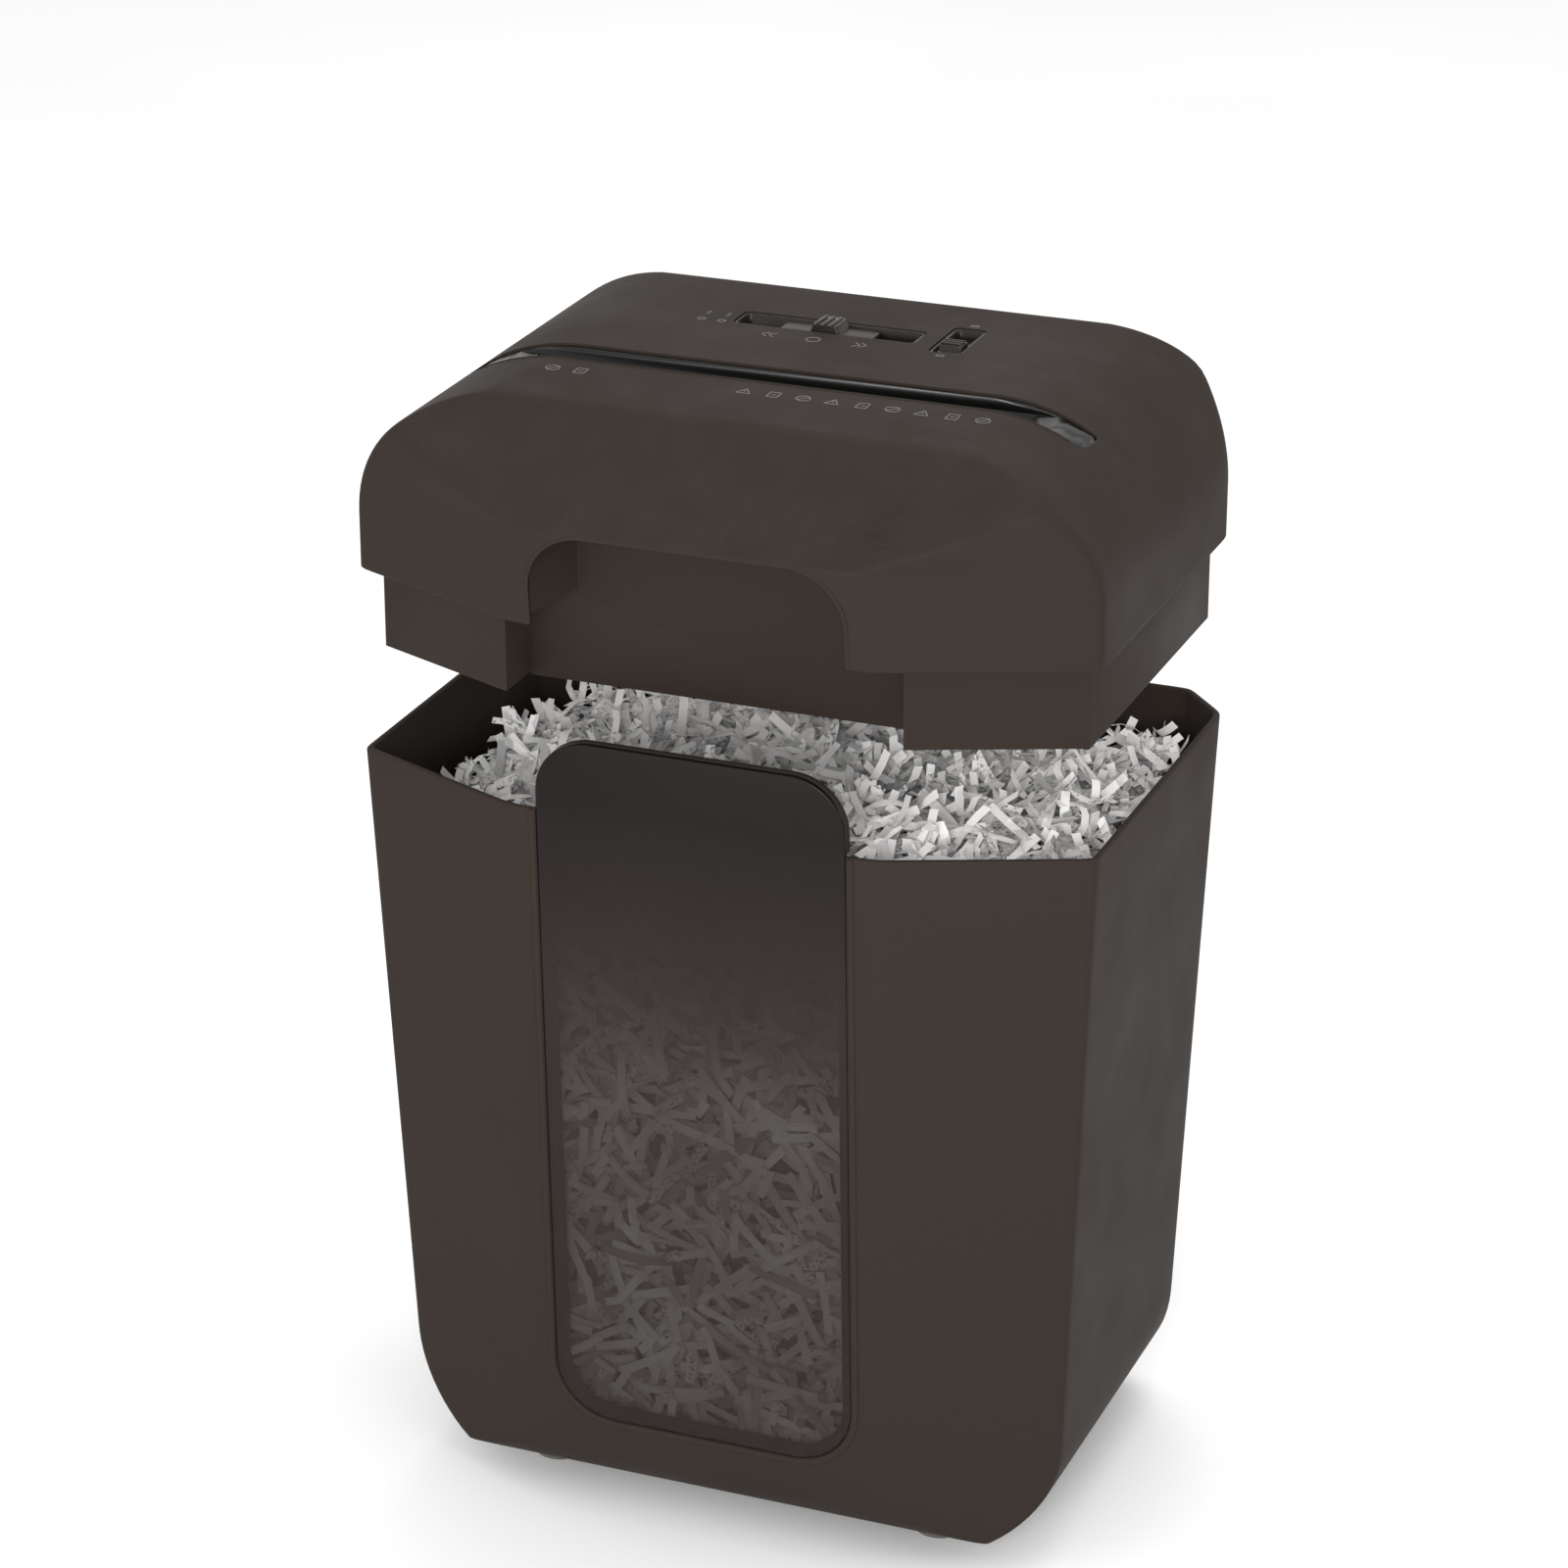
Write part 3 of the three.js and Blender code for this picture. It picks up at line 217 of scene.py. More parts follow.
def math_node(tree, operation, first, second=None):
    """A maths node; each operand is a number or a (node, output) pair."""
    node = tree.nodes.new("ShaderNodeMath")
    node.operation = operation
    for index, operand in enumerate((first, second)):
        if operand is None:
            continue
        if isinstance(operand, tuple):
            wire(tree, operand[0], operand[1], node, index)
        else:
            node.inputs[index].default_value = operand
    return node


def spread(tree, source, output, low, high, to_low=0.0, to_high=1.0):
    """Rescales a value from low..high to to_low..to_high and clamps it."""
    node = tree.nodes.new("ShaderNodeMapRange")
    wire(tree, source, output, node, "Value")
    for label, value in (("From Min", low), ("From Max", high), ("To Min", to_low), ("To Max", to_high)):
        node.inputs[label].default_value = value
    return node


def noise(tree, place, scale, detail=2.0, roughness=0.5):
    node = tree.nodes.new("ShaderNodeTexNoise")
    wire(tree, place, "Object", node, "Vector")
    node.inputs["Scale"].default_value = scale
    node.inputs["Detail"].default_value = detail
    node.inputs["Roughness"].default_value = roughness
    return node


def moulded_grain_group():
    """Fine spark-eroded texture of moulded plastic, with slow cloudiness for its sheen."""
    group, start, end = new_group(
        "moulded_grain", {"Grain Scale": 1400.0, "Cloud Scale": 18.0},
        {"Height": "NodeSocketFloat", "Cloud": "NodeSocketFloat"})
    place = group.nodes.new("ShaderNodeTexCoord")
    fine = noise(group, place, 1.0, 3.0, 0.6)
    wire(group, start, "Grain Scale", fine, "Scale")
    pits = group.nodes.new("ShaderNodeTexVoronoi")
    wire(group, place, "Object", pits, "Vector")
    wire(group, start, "Grain Scale", pits, "Scale")
    mixed = math_node(group, "MULTIPLY", (fine, "Fac"), (pits, "Distance"))
    cloud = noise(group, place, 1.0, 4.0, 0.55)
    wire(group, start, "Cloud Scale", cloud, "Scale")
    wire(group, mixed, 0, end, "Height")
    wire(group, cloud, "Fac", end, "Cloud")
    return group


def edge_wear_group():
    """Polished, slightly paler line where two faces meet, broken up along its length."""
    group, start, end = new_group(
        "edge_wear", {"Width": 0.0012, "Strength": 0.5}, {"Mask": "NodeSocketFloat"})
    bevel = group.nodes.new("ShaderNodeBevel")
    bevel.samples = 4
    wire(group, start, "Width", bevel, "Radius")
    surface = group.nodes.new("ShaderNodeNewGeometry")
    turned = group.nodes.new("ShaderNodeVectorMath")
    turned.operation = "DOT_PRODUCT"
    wire(group, bevel, "Normal", turned, 0)
    wire(group, surface, "Normal", turned, 1)
    edge = spread(group, turned, "Value", 0.995, 0.86)
    place = group.nodes.new("ShaderNodeTexCoord")
    breaks = spread(group, noise(group, place, 160.0, 3.0), "Fac", 0.35, 0.62, 0.35, 1.0)
    mask = math_node(group, "MULTIPLY", (edge, "Result"), (breaks, "Result"))
    mask = math_node(group, "MULTIPLY", (mask, 0), (start, "Strength"))
    wire(group, mask, 0, end, "Mask")
    return group


def settled_dust_group():
    """Thin pale film on surfaces that face up."""
    group, start, end = new_group(
        "settled_dust", {"Amount": 0.1, "Scale": 35.0}, {"Mask": "NodeSocketFloat"})
    surface = group.nodes.new("ShaderNodeNewGeometry")
    split = group.nodes.new("ShaderNodeSeparateXYZ")
    wire(group, surface, "Normal", split, 0)
    facing_up = spread(group, split, "Z", 0.3, 1.0)
    place = group.nodes.new("ShaderNodeTexCoord")
    patches = noise(group, place, 1.0, 6.0, 0.65)
    wire(group, start, "Scale", patches, "Scale")
    patches = spread(group, patches, "Fac", 0.42, 0.7)
    mask = math_node(group, "MULTIPLY", (facing_up, "Result"), (patches, "Result"))
    mask = math_node(group, "MULTIPLY", (mask, 0), (start, "Amount"))
    wire(group, mask, 0, end, "Mask")
    return group


def machined_lines_group():
    """Fine turned or rolled lines across X, for steel pieces."""
    group, start, end = new_group(
        "machined_lines", {"Scale": 900.0}, {"Height": "NodeSocketFloat", "Tone": "NodeSocketFloat"})
    place = group.nodes.new("ShaderNodeTexCoord")
    stretch = group.nodes.new("ShaderNodeMapping")
    wire(group, place, "Object", stretch, "Vector")
    stretch.inputs["Scale"].default_value = (1.0, 0.04, 0.04)
    lines = group.nodes.new("ShaderNodeTexNoise")
    wire(group, stretch, 0, lines, "Vector")
    wire(group, start, "Scale", lines, "Scale")
    lines.inputs["Detail"].default_value = 3.0
    tone = noise(group, place, 60.0, 4.0)
    wire(group, lines, "Fac", end, "Height")
    wire(group, tone, "Fac", end, "Tone")
    return group


GROUP_MAKERS = {
    "moulded_grain": moulded_grain_group,
    "edge_wear": edge_wear_group,
    "settled_dust": settled_dust_group,
    "machined_lines": machined_lines_group,
}


def effect(tree, name, **values):
    """Places a shared node group in a material, with its own values."""
    node = tree.nodes.new("ShaderNodeGroup")
    node.node_tree = bpy.data.node_groups.get(name) or GROUP_MAKERS[name]()
    for label, value in values.items():
        node.inputs[label.replace("_", " ").title()].default_value = value
    return node


# ---- Materials ----
def new_material(name, **sockets):
    material = bpy.data.materials.new(name)
    material.use_nodes = True
    tree = material.node_tree
    shader = tree.nodes["Principled BSDF"]
    for label, value in sockets.items():
        shader.inputs[label.replace("_", " ")].default_value = value
    return material, tree, shader


def blended(tree, first, second, mask, mask_output):
    """The first colour, turning into the second where a mask is set; a colour may be another blend."""
    mix = tree.nodes.new("ShaderNodeMix")
    mix.data_type = "RGBA"
    for index, colour in ((MIX_FIRST, first), (MIX_SECOND, second)):
        if isinstance(colour, bpy.types.Node):
            wire(tree, colour, MIX_RESULT, mix, index)
        else:
            mix.inputs[index].default_value = (*colour, 1)
    wire(tree, mask, mask_output, mix, MIX_MASK)
    return mix


def bumped(tree, shader, height, output, distance, strength=1.0):
    bump = tree.nodes.new("ShaderNodeBump")
    bump.inputs["Distance"].default_value = distance
    bump.inputs["Strength"].default_value = strength
    wire(tree, height, output, bump, "Height")
    wire(tree, bump, "Normal", shader, "Normal")
    return bump


def lighter(colour, factor, lift=0.0):
    return tuple(min(1.0, c * factor + lift) for c in colour)


def moulded_plastic(name, colour, roughness=(0.50, 0.60), grain=1400.0, depth=0.05 * MM, wear=0.45,
                    dust=0.045, specular=0.04):
    """Moulded plastic with grain, cloudy sheen, polished edges and a little dust."""
    material, tree, shader = new_material(name, IOR=1.5, Specular_IOR_Level=specular)
    texture = effect(tree, "moulded_grain", grain_scale=grain)
    worn = effect(tree, "edge_wear", strength=wear)
    dusty = effect(tree, "settled_dust", amount=dust)
    base = blended(tree, colour, lighter(colour, 1.35, 0.004), worn, "Mask")
    top = blended(tree, base, DUST, dusty, "Mask")
    wire(tree, top, MIX_RESULT, shader, "Base Color")
    sheen = spread(tree, texture, "Cloud", 0.3, 0.7, *roughness)
    polished = math_node(tree, "MULTIPLY", (worn, "Mask"), -0.12)
    total = math_node(tree, "ADD", (sheen, "Result"), (polished, 0))
    wire(tree, total, 0, shader, "Roughness")
    bumped(tree, shader, texture, "Height", depth)
    return material


def smoked_material():
    """Smoked clear plastic that turns opaque above the rim, where the tongue has its backing; its colour darkens
    towards the top.
    """
    material, tree, shader = new_material("smoked_panel", IOR=1.5, Specular_IOR_Level=0.14)
    smoke = tuple(colours().smoke)
    texture = effect(tree, "moulded_grain", grain_scale=260.0, cloud_scale=9.0)
    place = tree.nodes.new("ShaderNodeTexCoord")
    split = tree.nodes.new("ShaderNodeSeparateXYZ")
    wire(tree, place, "Object", split, 0)
    height = spread(tree, split, "Z", 0.62 * RIM, RIM - 4 * MM, 0.57, 0.99)
    patches = spread(tree, noise(tree, place, 22.0, 2.0), "Fac", 0.3, 0.7, -0.03, 0.03)
    alpha = math_node(tree, "ADD", (height, "Result"), (patches, "Result"))
    alpha.use_clamp = True
    wire(tree, alpha, 0, shader, "Alpha")
    tint = blended(tree, smoke, lighter(smoke, 1.5), texture, "Cloud")
    # The colour darkens towards the top, from 90 mm below the rim to just above it.
    top_darkening = spread(tree, split, "Z", RIM - 90 * MM, RIM + 4 * MM)
    deep = blended(tree, tint, lighter(smoke, 0.25), top_darkening, "Result")
    wire(tree, deep, MIX_RESULT, shader, "Base Color")
    sheen = spread(tree, texture, "Cloud", 0.3, 0.7, 0.24, 0.34)
    wire(tree, sheen, "Result", shader, "Roughness")
    bumped(tree, shader, texture, "Height", 0.01 * MM)
    return material


def paper_material():
    """Office paper: a slightly fibrous white, each strip with its own tone, some with rows of print; the packed
    paper's low tone is painted shade.
    """
    material, tree, shader = new_material("shredded_paper", IOR=1.45, Specular_IOR_Level=0.25)
    place = tree.nodes.new("ShaderNodeTexCoord")
    tone = tree.nodes.new("ShaderNodeAttribute")
    tone.attribute_name = "tone"
    fibres = noise(tree, place, 900.0, 4.0, 0.7)
    shade = spread(tree, fibres, "Fac", 0.3, 0.7, 0.93, 1.0)
    shade = math_node(tree, "MULTIPLY", (shade, "Result"), (tone, "Fac"))
    printed = tree.nodes.new("ShaderNodeAttribute")
    printed.attribute_name = "print"
    marks = spread(tree, noise(tree, place, 620.0, 1.0), "Fac", 0.56, 0.60, 1.0, 0.4)
    rest = math_node(tree, "SUBTRACT", 1.0, (printed, "Fac"))
    some = math_node(tree, "MULTIPLY", (marks, "Result"), (printed, "Fac"))
    ink = math_node(tree, "ADD", (some, 0), (rest, 0))
    total = math_node(tree, "MULTIPLY", (shade, 0), (ink, 0))
    # Low tone and print blend the paper towards near-black; on the packed paper this darkening is painted shade.
    toned = blended(tree, INK_AND_SHADE_DARK, tuple(colours().paper), total, 0)
    wire(tree, toned, MIX_RESULT, shader, "Base Color")
    dull = spread(tree, fibres, "Fac", 0.3, 0.7, 0.7, 0.85)
    wire(tree, dull, "Result", shader, "Roughness")
    bumped(tree, shader, fibres, "Fac", 0.05 * MM)
    return material


def steel_material(name, colour, roughness):
    """Machined or rolled steel with fine lines and brighter edges."""
    material, tree, shader = new_material(name, Metallic=1.0)
    lines = effect(tree, "machined_lines")
    worn = effect(tree, "edge_wear", width=0.0006, strength=0.7)
    base = blended(tree, colour, lighter(colour, 0.72), lines, "Tone")
    bright = blended(tree, base, lighter(colour, 1.35), worn, "Mask")
    wire(tree, bright, MIX_RESULT, shader, "Base Color")
    dull = spread(tree, lines, "Tone", 0.3, 0.7, roughness - 0.07, roughness + 0.09)
    wire(tree, dull, "Result", shader, "Roughness")
    bumped(tree, shader, lines, "Height", 0.02 * MM)
    return material


def board_material():
    """Green solder resist with a faint pattern of copper tracks under it."""
    material, tree, shader = new_material("circuit_board", IOR=1.5)
    place = tree.nodes.new("ShaderNodeTexCoord")
    tracks = tree.nodes.new("ShaderNodeTexBrick")
    wire(tree, place, "Object", tracks, "Vector")
    tracks.inputs["Scale"].default_value = 60.0
    tracks.inputs["Color1"].default_value = (0.02, 0.12, 0.05, 1)
    tracks.inputs["Color2"].default_value = (0.015, 0.09, 0.04, 1)
    tracks.inputs["Mortar"].default_value = (0.05, 0.22, 0.09, 1)
    wire(tree, tracks, "Color", shader, "Base Color")
    dull = spread(tree, noise(tree, place, 80.0), "Fac", 0.3, 0.7, 0.3, 0.45)
    wire(tree, dull, "Result", shader, "Roughness")
    bumped(tree, shader, tracks, "Fac", 0.05 * MM, 0.5)
    return material


def make_case():
    return moulded_plastic("matte_case", tuple(colours().case))


def make_throat():
    return moulded_plastic("gloss_throat", tuple(colours().gloss), roughness=(0.21, 0.25), grain=1400.0,
                           depth=0.001 * MM, wear=0.3, dust=0.0, specular=0.32)


def make_control():
    return moulded_plastic("satin_control", tuple(colours().control), roughness=(0.30, 0.40), grain=1800.0,
                           depth=0.02 * MM, wear=0.6, dust=0.05, specular=0.3)


def make_rubber():
    return moulded_plastic("foot_rubber", (0.10, 0.095, 0.09), roughness=(0.65, 0.8), grain=900.0,
                           depth=0.08 * MM, wear=0.3, dust=0.3)


def make_nylon():
    return moulded_plastic("natural_nylon", (0.55, 0.51, 0.41), roughness=(0.38, 0.5), grain=900.0,
                           depth=0.02 * MM, wear=0.2, dust=0.2)


def make_lens():
    return moulded_plastic("indicator_lens", (0.03, 0.035, 0.03), roughness=(0.12, 0.2), grain=500.0,
                           depth=0.005 * MM, wear=0.2, dust=0.0)


def make_print():
    return moulded_plastic("printed_marks", tuple(colours().printing), roughness=(0.5, 0.6), grain=2500.0,
                           depth=0.01 * MM, wear=0.0, dust=0.0)


def make_cutter_steel():
    return steel_material("cutter_steel", (0.36, 0.36, 0.37), 0.34)


def make_frame_steel():
    return steel_material("frame_steel", (0.50, 0.50, 0.52), 0.40)


def make_motor_steel():
    return steel_material("motor_steel", (0.16, 0.16, 0.17), 0.45)


FINISHES = {
    "case": make_case, "smoked_panel": smoked_material, "paper": paper_material,
    "foot_rubber": make_rubber, "gloss_black": make_throat, "control": make_control,
    "lens": make_lens, "board": board_material, "nylon": make_nylon,
    "cutter_steel": make_cutter_steel, "frame_steel": make_frame_steel,
    "motor_steel": make_motor_steel, "print": make_print,
}
MADE = {}


def finish_of(slot):
    if slot not in MADE:
        MADE[slot] = FINISHES[slot]()
    return MADE[slot]


NODE_SLOT = {part["node"]: part["material_slot"] for part in frame["record"]["subparts"]}


# ---- Mesh tools ----
def middle_of(node):
    """Centre of a node's box."""
    return [(a + b) / 2 for a, b in zip(*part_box(node))]


def around(sides):
    """Angles once round a circle."""
    return np.linspace(0, 2 * math.pi, sides + 1)[:-1]


def level_circle(x, y, z, radius, sides):
    return [(x + radius * math.cos(a), y + radius * math.sin(a), z) for a in around(sides)]


def add_piece(name, vertices, faces, slot, body, finish=None, smooth=35.0, replaces=()):
    """A closed mesh that rides on a body and takes its finish from a material slot."""
    mesh = bpy.data.meshes.new(name)
    mesh.from_pydata([tuple(v) for v in vertices], [], [tuple(int(i) for i in f) for f in faces])
    return add_mesh(name, mesh, slot, body, finish, smooth, replaces)


def add_mesh(name, mesh, slot, body, finish=None, smooth=35.0, replaces=()):
    piece = bpy.data.objects.new(name, mesh)
    bpy.context.scene.collection.objects.link(piece)
    shade(mesh, smooth)
    mesh.materials.clear()
    mesh.materials.append(finish_of(finish or slot))
    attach(piece, body)
    if replaces:
        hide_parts(*replaces)
    return piece


def shade(mesh, smooth):
    mesh.polygons.foreach_set("use_smooth", [True] * len(mesh.polygons))
    mesh.set_sharp_from_angle(angle=math.radians(smooth))


def with_modifiers(piece):
    """Applies a piece's modifiers to its mesh."""
    graph = bpy.context.evaluated_depsgraph_get()
    graph.update()
    finished = bpy.data.meshes.new_from_object(piece.evaluated_get(graph))
    piece.modifiers.clear()
    piece.data = finished
    return finished


def soften(piece, width, segments=2, angle=28.0, smooth=35.0):
    """Rounds a piece's sharp edges."""
    bevel = piece.modifiers.new("round_edges", "BEVEL")
    bevel.width = width
    bevel.segments = segments
    bevel.limit_method = "ANGLE"
    bevel.angle_limit = math.radians(angle)
    bevel.use_clamp_overlap = True
    bevel.harden_normals = True
    shade(with_modifiers(piece), smooth)
    return piece


def outward(mesh):
    """Turns every face to point out of its solid."""
    work = bmesh.new()
    work.from_mesh(mesh)
    bmesh.ops.recalc_face_normals(work, faces=work.faces)
    work.to_mesh(mesh)
    work.free()


def cutter_object(solids):
    """One temporary object holding several separate closed solids."""
    vertices, faces = [], []
    for points, loops in solids:
        start = len(vertices)
        vertices += [tuple(p) for p in points]
        faces += [tuple(int(i) + start for i in loop) for loop in loops]
    mesh = bpy.data.meshes.new("cutter")
    mesh.from_pydata(vertices, [], faces)
    outward(mesh)
    tool = bpy.data.objects.new("cutter", mesh)
    bpy.context.scene.collection.objects.link(tool)
    return tool


def carve(piece, solids, smooth=35.0):
    """Cuts closed solids out of a piece."""
    tool = cutter_object(solids)
    cut = piece.modifiers.new("cut", "BOOLEAN")
    cut.operation = "DIFFERENCE"
    cut.solver = "MANIFOLD"
    cut.object = tool
    before = len(piece.data.polygons)
    mesh = with_modifiers(piece)
    bpy.data.objects.remove(tool)
    if len(mesh.polygons) < before // 3:
        raise RuntimeError(f"{piece.name}: a cut removed most of the piece")
    shade(mesh, smooth)
    return piece


def prism(outline, place, low, high):
    """Closed solid on an outline, carried from low to high; place turns (u, v, w) into a point."""
    count = len(outline)
    points = [place(u, v, w) for w in (low, high) for u, v in outline]
    loops = [tuple(range(count))[::-1], tuple(range(count, 2 * count))]
    loops += [(i, (i + 1) % count, count + (i + 1) % count, count + i) for i in range(count)]
    return points, loops


def in_plan(u, v, w):
    return (u, v, w)


def in_front_view(u, v, w):
    return (u, w, v)


def in_side_view(u, v, w):
    return (w, u, v)


def on_facet(u, v, w):
    """Point on the bin's leaning front facet: across, up from the rim line and out of the face."""
    lean, rise = math.sin(FRONT_DRAFT), math.cos(FRONT_DRAFT)
    return (u, FRONT - lean * v - rise * w, RIM + rise * v - lean * w)


def arc(centre, radius, start, end, steps):
    return [
        (centre[0] + radius * math.cos(a), centre[1] + radius * math.sin(a))
        for a in np.radians(np.linspace(start, end, steps + 1))
    ]


def rounded_rectangle(x0, x1, y0, y1, low_round, high_round=None, steps=8):
    """Counter-clockwise outline with its own rounding at the lower and upper corners."""
    high_round = low_round if high_round is None else high_round
    corners = [
        ((x1 - low_round, y0 + low_round), low_round, -90),
        ((x1 - high_round, y1 - high_round), high_round, 0),
        ((x0 + high_round, y1 - high_round), high_round, 90),
        ((x0 + low_round, y0 + low_round), low_round, 180),
    ]
    outline = []
    for centre, radius, start in corners:
        outline += arc(centre, radius, start, start + 90, steps) if radius > 0 else [centre]
    return outline


def shrunk(outline, distance):
    """Moves every side of a counter-clockwise outline inwards by a distance."""
    points = np.array(outline)
    before = points - np.roll(points, 1, axis=0)
    after = np.roll(points, -1, axis=0) - points
    before /= np.linalg.norm(before, axis=1)[:, None]
    after /= np.linalg.norm(after, axis=1)[:, None]
    scale = distance / (1 + (before * after).sum(axis=1))
    inward = np.stack([-(before[:, 1] + after[:, 1]), before[:, 0] + after[:, 0]], axis=1)
    return points + inward * scale[:, None]


def stack(rings):
    """Closed skin through rings of equal counts, with a flat cap on the first and last."""
    count = len(rings[0])
    points = np.concatenate([np.asarray(r) for r in rings])
    loops = [tuple(range(count))[::-1], tuple(range(len(points) - count, len(points)))]
    for i in range(len(rings) - 1):
        a, b = i * count, (i + 1) * count
        loops += [(a + j, a + (j + 1) % count, b + (j + 1) % count, b + j) for j in range(count)]
    return points, loops


def plate(outline, place, low, high, edge, steps=3):
    """Plate on an outline whose front and back edges are rounded; high is the front face."""
    rings = []
    for quarter, sign in ((np.linspace(90, 0, steps + 1), -1), (np.linspace(0, 90, steps + 1), 1)):
        for a in np.radians(quarter):
            inset = edge * (1 - math.cos(a))
            level = low + edge - edge * math.sin(a) if sign < 0 else high - edge + edge * math.sin(a)
            rings.append([place(u, v, level) for u, v in shrunk(outline, max(inset, 1e-7))])
    return stack(rings)


def sweep(path, outs, profile):
    """Closed bar along an open path; profile points are (across, out) and outs the way out at each point."""
    path = np.array(path, float)
    along = np.gradient(path, axis=0)
    along /= np.linalg.norm(along, axis=1)[:, None]
    outs = np.array(outs, float)
    across = np.cross(outs, along)
    across /= np.linalg.norm(across, axis=1)[:, None]
    rings = [p + np.outer([q[0] for q in profile], a) + np.outer([q[1] for q in profile], o)
             for p, a, o in zip(path, across, outs)]
    return stack(rings)


def merged(*solids):
    """Several solids as one list of points and faces."""
    points, loops = [], []
    for more, faces in solids:
        start = len(points)
        points += [tuple(p) for p in more]
        loops += [tuple(int(i) + start for i in face) for face in faces]
    return points, loops


def add_solid(name, solid, slot, body, **options):
    piece = add_piece(name, *solid, slot, body, **options)
    outward(piece.data)
    shade(piece.data, options.get("smooth", 35.0))
    return piece


def refined(node, name, body, width, finish=None, segments=2, angle=28.0):
    """Detailed stand-in for a CAD node: the same solid with clean faces and rounded edges."""
    slot = NODE_SLOT[node]
    mesh = frame["nodes"][node].data.copy()
    mesh.name = name
    work = bmesh.new()
    work.from_mesh(mesh)
    bmesh.ops.remove_doubles(work, verts=work.verts, dist=1e-6)
    bmesh.ops.dissolve_limit(work, angle_limit=math.radians(0.8), verts=work.verts, edges=work.edges)
    bmesh.ops.recalc_face_normals(work, faces=work.faces)
    work.to_mesh(mesh)
    work.free()
    piece = add_mesh(name, mesh, slot, body, finish=finish, replaces=(node,))
    return soften(piece, width, segments, angle)


# ---- Outlines of the bin and cover at a height ----
def planes_of(points):
    """Outward normals and reaches of a counter-clockwise outline's sides, seen from the origin."""
    points = np.asarray(points)
    along = np.roll(points, -1, axis=0) - points
    normals = np.stack([along[:, 1], -along[:, 0]], axis=1)
    normals /= np.linalg.norm(normals, axis=1)[:, None]
    return normals, (normals * points).sum(axis=1)


HIDDEN_HALF = 0.003


def wrapped(angle):
    return (angle + math.pi) % (2 * math.pi) - math.pi


def corner_angles(normals, reach):
    """Polar angle of the corner after each side; a side hidden by its neighbours gets their corner."""
    def meet(i, j):
        x, y = np.linalg.solve(np.array([normals[i], normals[j]]), [reach[i], reach[j]])
        return math.atan2(y, x)
    count = len(reach)
    angles = [meet(i, (i + 1) % count) for i in range(count)]
    for i in range(count):
        if wrapped(angles[i] - angles[i - 1]) < 2 * HIDDEN_HALF:
            shared = meet((i - 1) % count, (i + 1) % count)
            angles[i], angles[i - 1] = shared + HIDDEN_HALF, shared - HIDDEN_HALF
    return angles


CORNER_SAMPLES = np.array([0.0, 0.7, 1.6, 3.0, 5.5, 10.0, 18.0]) * MM


def ring(normals, reach, crispness, centre, z, fills=(1,) * 8):
    """Outline of a set of sides with softened corners, sampled closely near each corner."""
    corners = corner_angles(normals, reach)
    typical = float(np.mean(reach)) * 1.15
    offsets = CORNER_SAMPLES / typical
    angles = []
    for i, start in enumerate(corners):
        gap = wrapped(corners[(i + 1) % len(corners)] - start)
        shrink = min(1.0, 0.42 * gap / offsets[-1])
        near = start + offsets * shrink
        far = start + gap - offsets[:0:-1] * shrink
        between = np.linspace(near[-1], far[0], fills[(i + 1) % len(fills)] + 2)[1:-1]
        angles += [*near, *between, *far]
    angles = np.array(angles)
    facing = np.clip(normals @ np.stack([np.cos(angles), np.sin(angles)]), 0, None) / reach[:, None]
    most = facing.max(axis=0)
    radius = 1 / (most * ((facing / most) ** crispness).sum(axis=0) ** (1 / crispness))
    return np.stack([
        centre[0] + radius * np.cos(angles), centre[1] + radius * np.sin(angles), np.full(len(angles), z),
    ], axis=1)


def rim_outline():
    corner = FRONT + FRONT_BOW
    return np.array([
        (-FACET, FRONT), (FACET, FRONT), (HALF, corner), (HALF, REAR - CHAMFER_Y),
        (HALF - CHAMFER_X, REAR), (-HALF + CHAMFER_X, REAR), (-HALF, REAR - CHAMFER_Y), (-HALF, corner),
    ])


FRONT_SIDE, RIGHT_SIDE, REAR_SIDE, LEFT_SIDE = 0, 2, 4, 6


def bend(z, wall_at_base, draft, radius, base):
    """How far a wall reaches at a height, following the bend into the underside."""
    wall = wall_at_base + math.tan(draft) * (z - base)
    if z >= base + radius:
        return wall
    centre = wall_at_base + radius * math.tan(draft) - radius / math.cos(draft)
    drop = base + radius - z
    return min(wall, centre + math.sqrt(max(radius * radius - drop * drop, 0)))


def bin_sides(z, margin):
    """Sides of the bin at a height, moved in by a margin."""
    drop = RIM - z
    share = (rim_outline()[:, 1] - FRONT) / (REAR - FRONT)
    points = rim_outline()
    points[:, 0] *= 1 - math.tan(SIDE_DRAFT) * drop / HALF
    points[:, 1] += (math.tan(FRONT_DRAFT) * (1 - share) - math.tan(REAR_DRAFT) * share) * drop
    normals, reach = planes_of(points)
    reach = reach - margin
    base = BASE + margin
    full = RIM - base
    side = bend(z, HALF - math.tan(SIDE_DRAFT) * full - margin, SIDE_DRAFT, SIDE_BEND - margin, base)
    front = bend(z, -FRONT - math.tan(FRONT_DRAFT) * full - margin, FRONT_DRAFT, FRONT_BEND - margin, base)
    rear = bend(z, REAR - math.tan(REAR_DRAFT) * full - margin, REAR_DRAFT, REAR_BEND - margin, base)
    for index, limit in ((RIGHT_SIDE, side), (LEFT_SIDE, side), (FRONT_SIDE, front), (REAR_SIDE, rear)):
        reach[index] = min(reach[index], limit)
    return normals, reach


BIN_CRISPNESS = 130


def bin_ring(z, margin):
    normals, reach = bin_sides(z, margin)
    return ring(normals, reach, BIN_CRISPNESS, (0, 0), z)


def bin_levels(margin):
    """Heights of the rings from the underside to just below the rim."""
    base = BASE + margin
    bend_part = [base + (SIDE_BEND - margin) * (1 - math.cos(a)) for a in np.linspace(0, math.pi / 2, 19)]
    return bend_part + list(np.linspace(base + SIDE_BEND + 12 * MM, RIM - RIM_ROUND, 9))


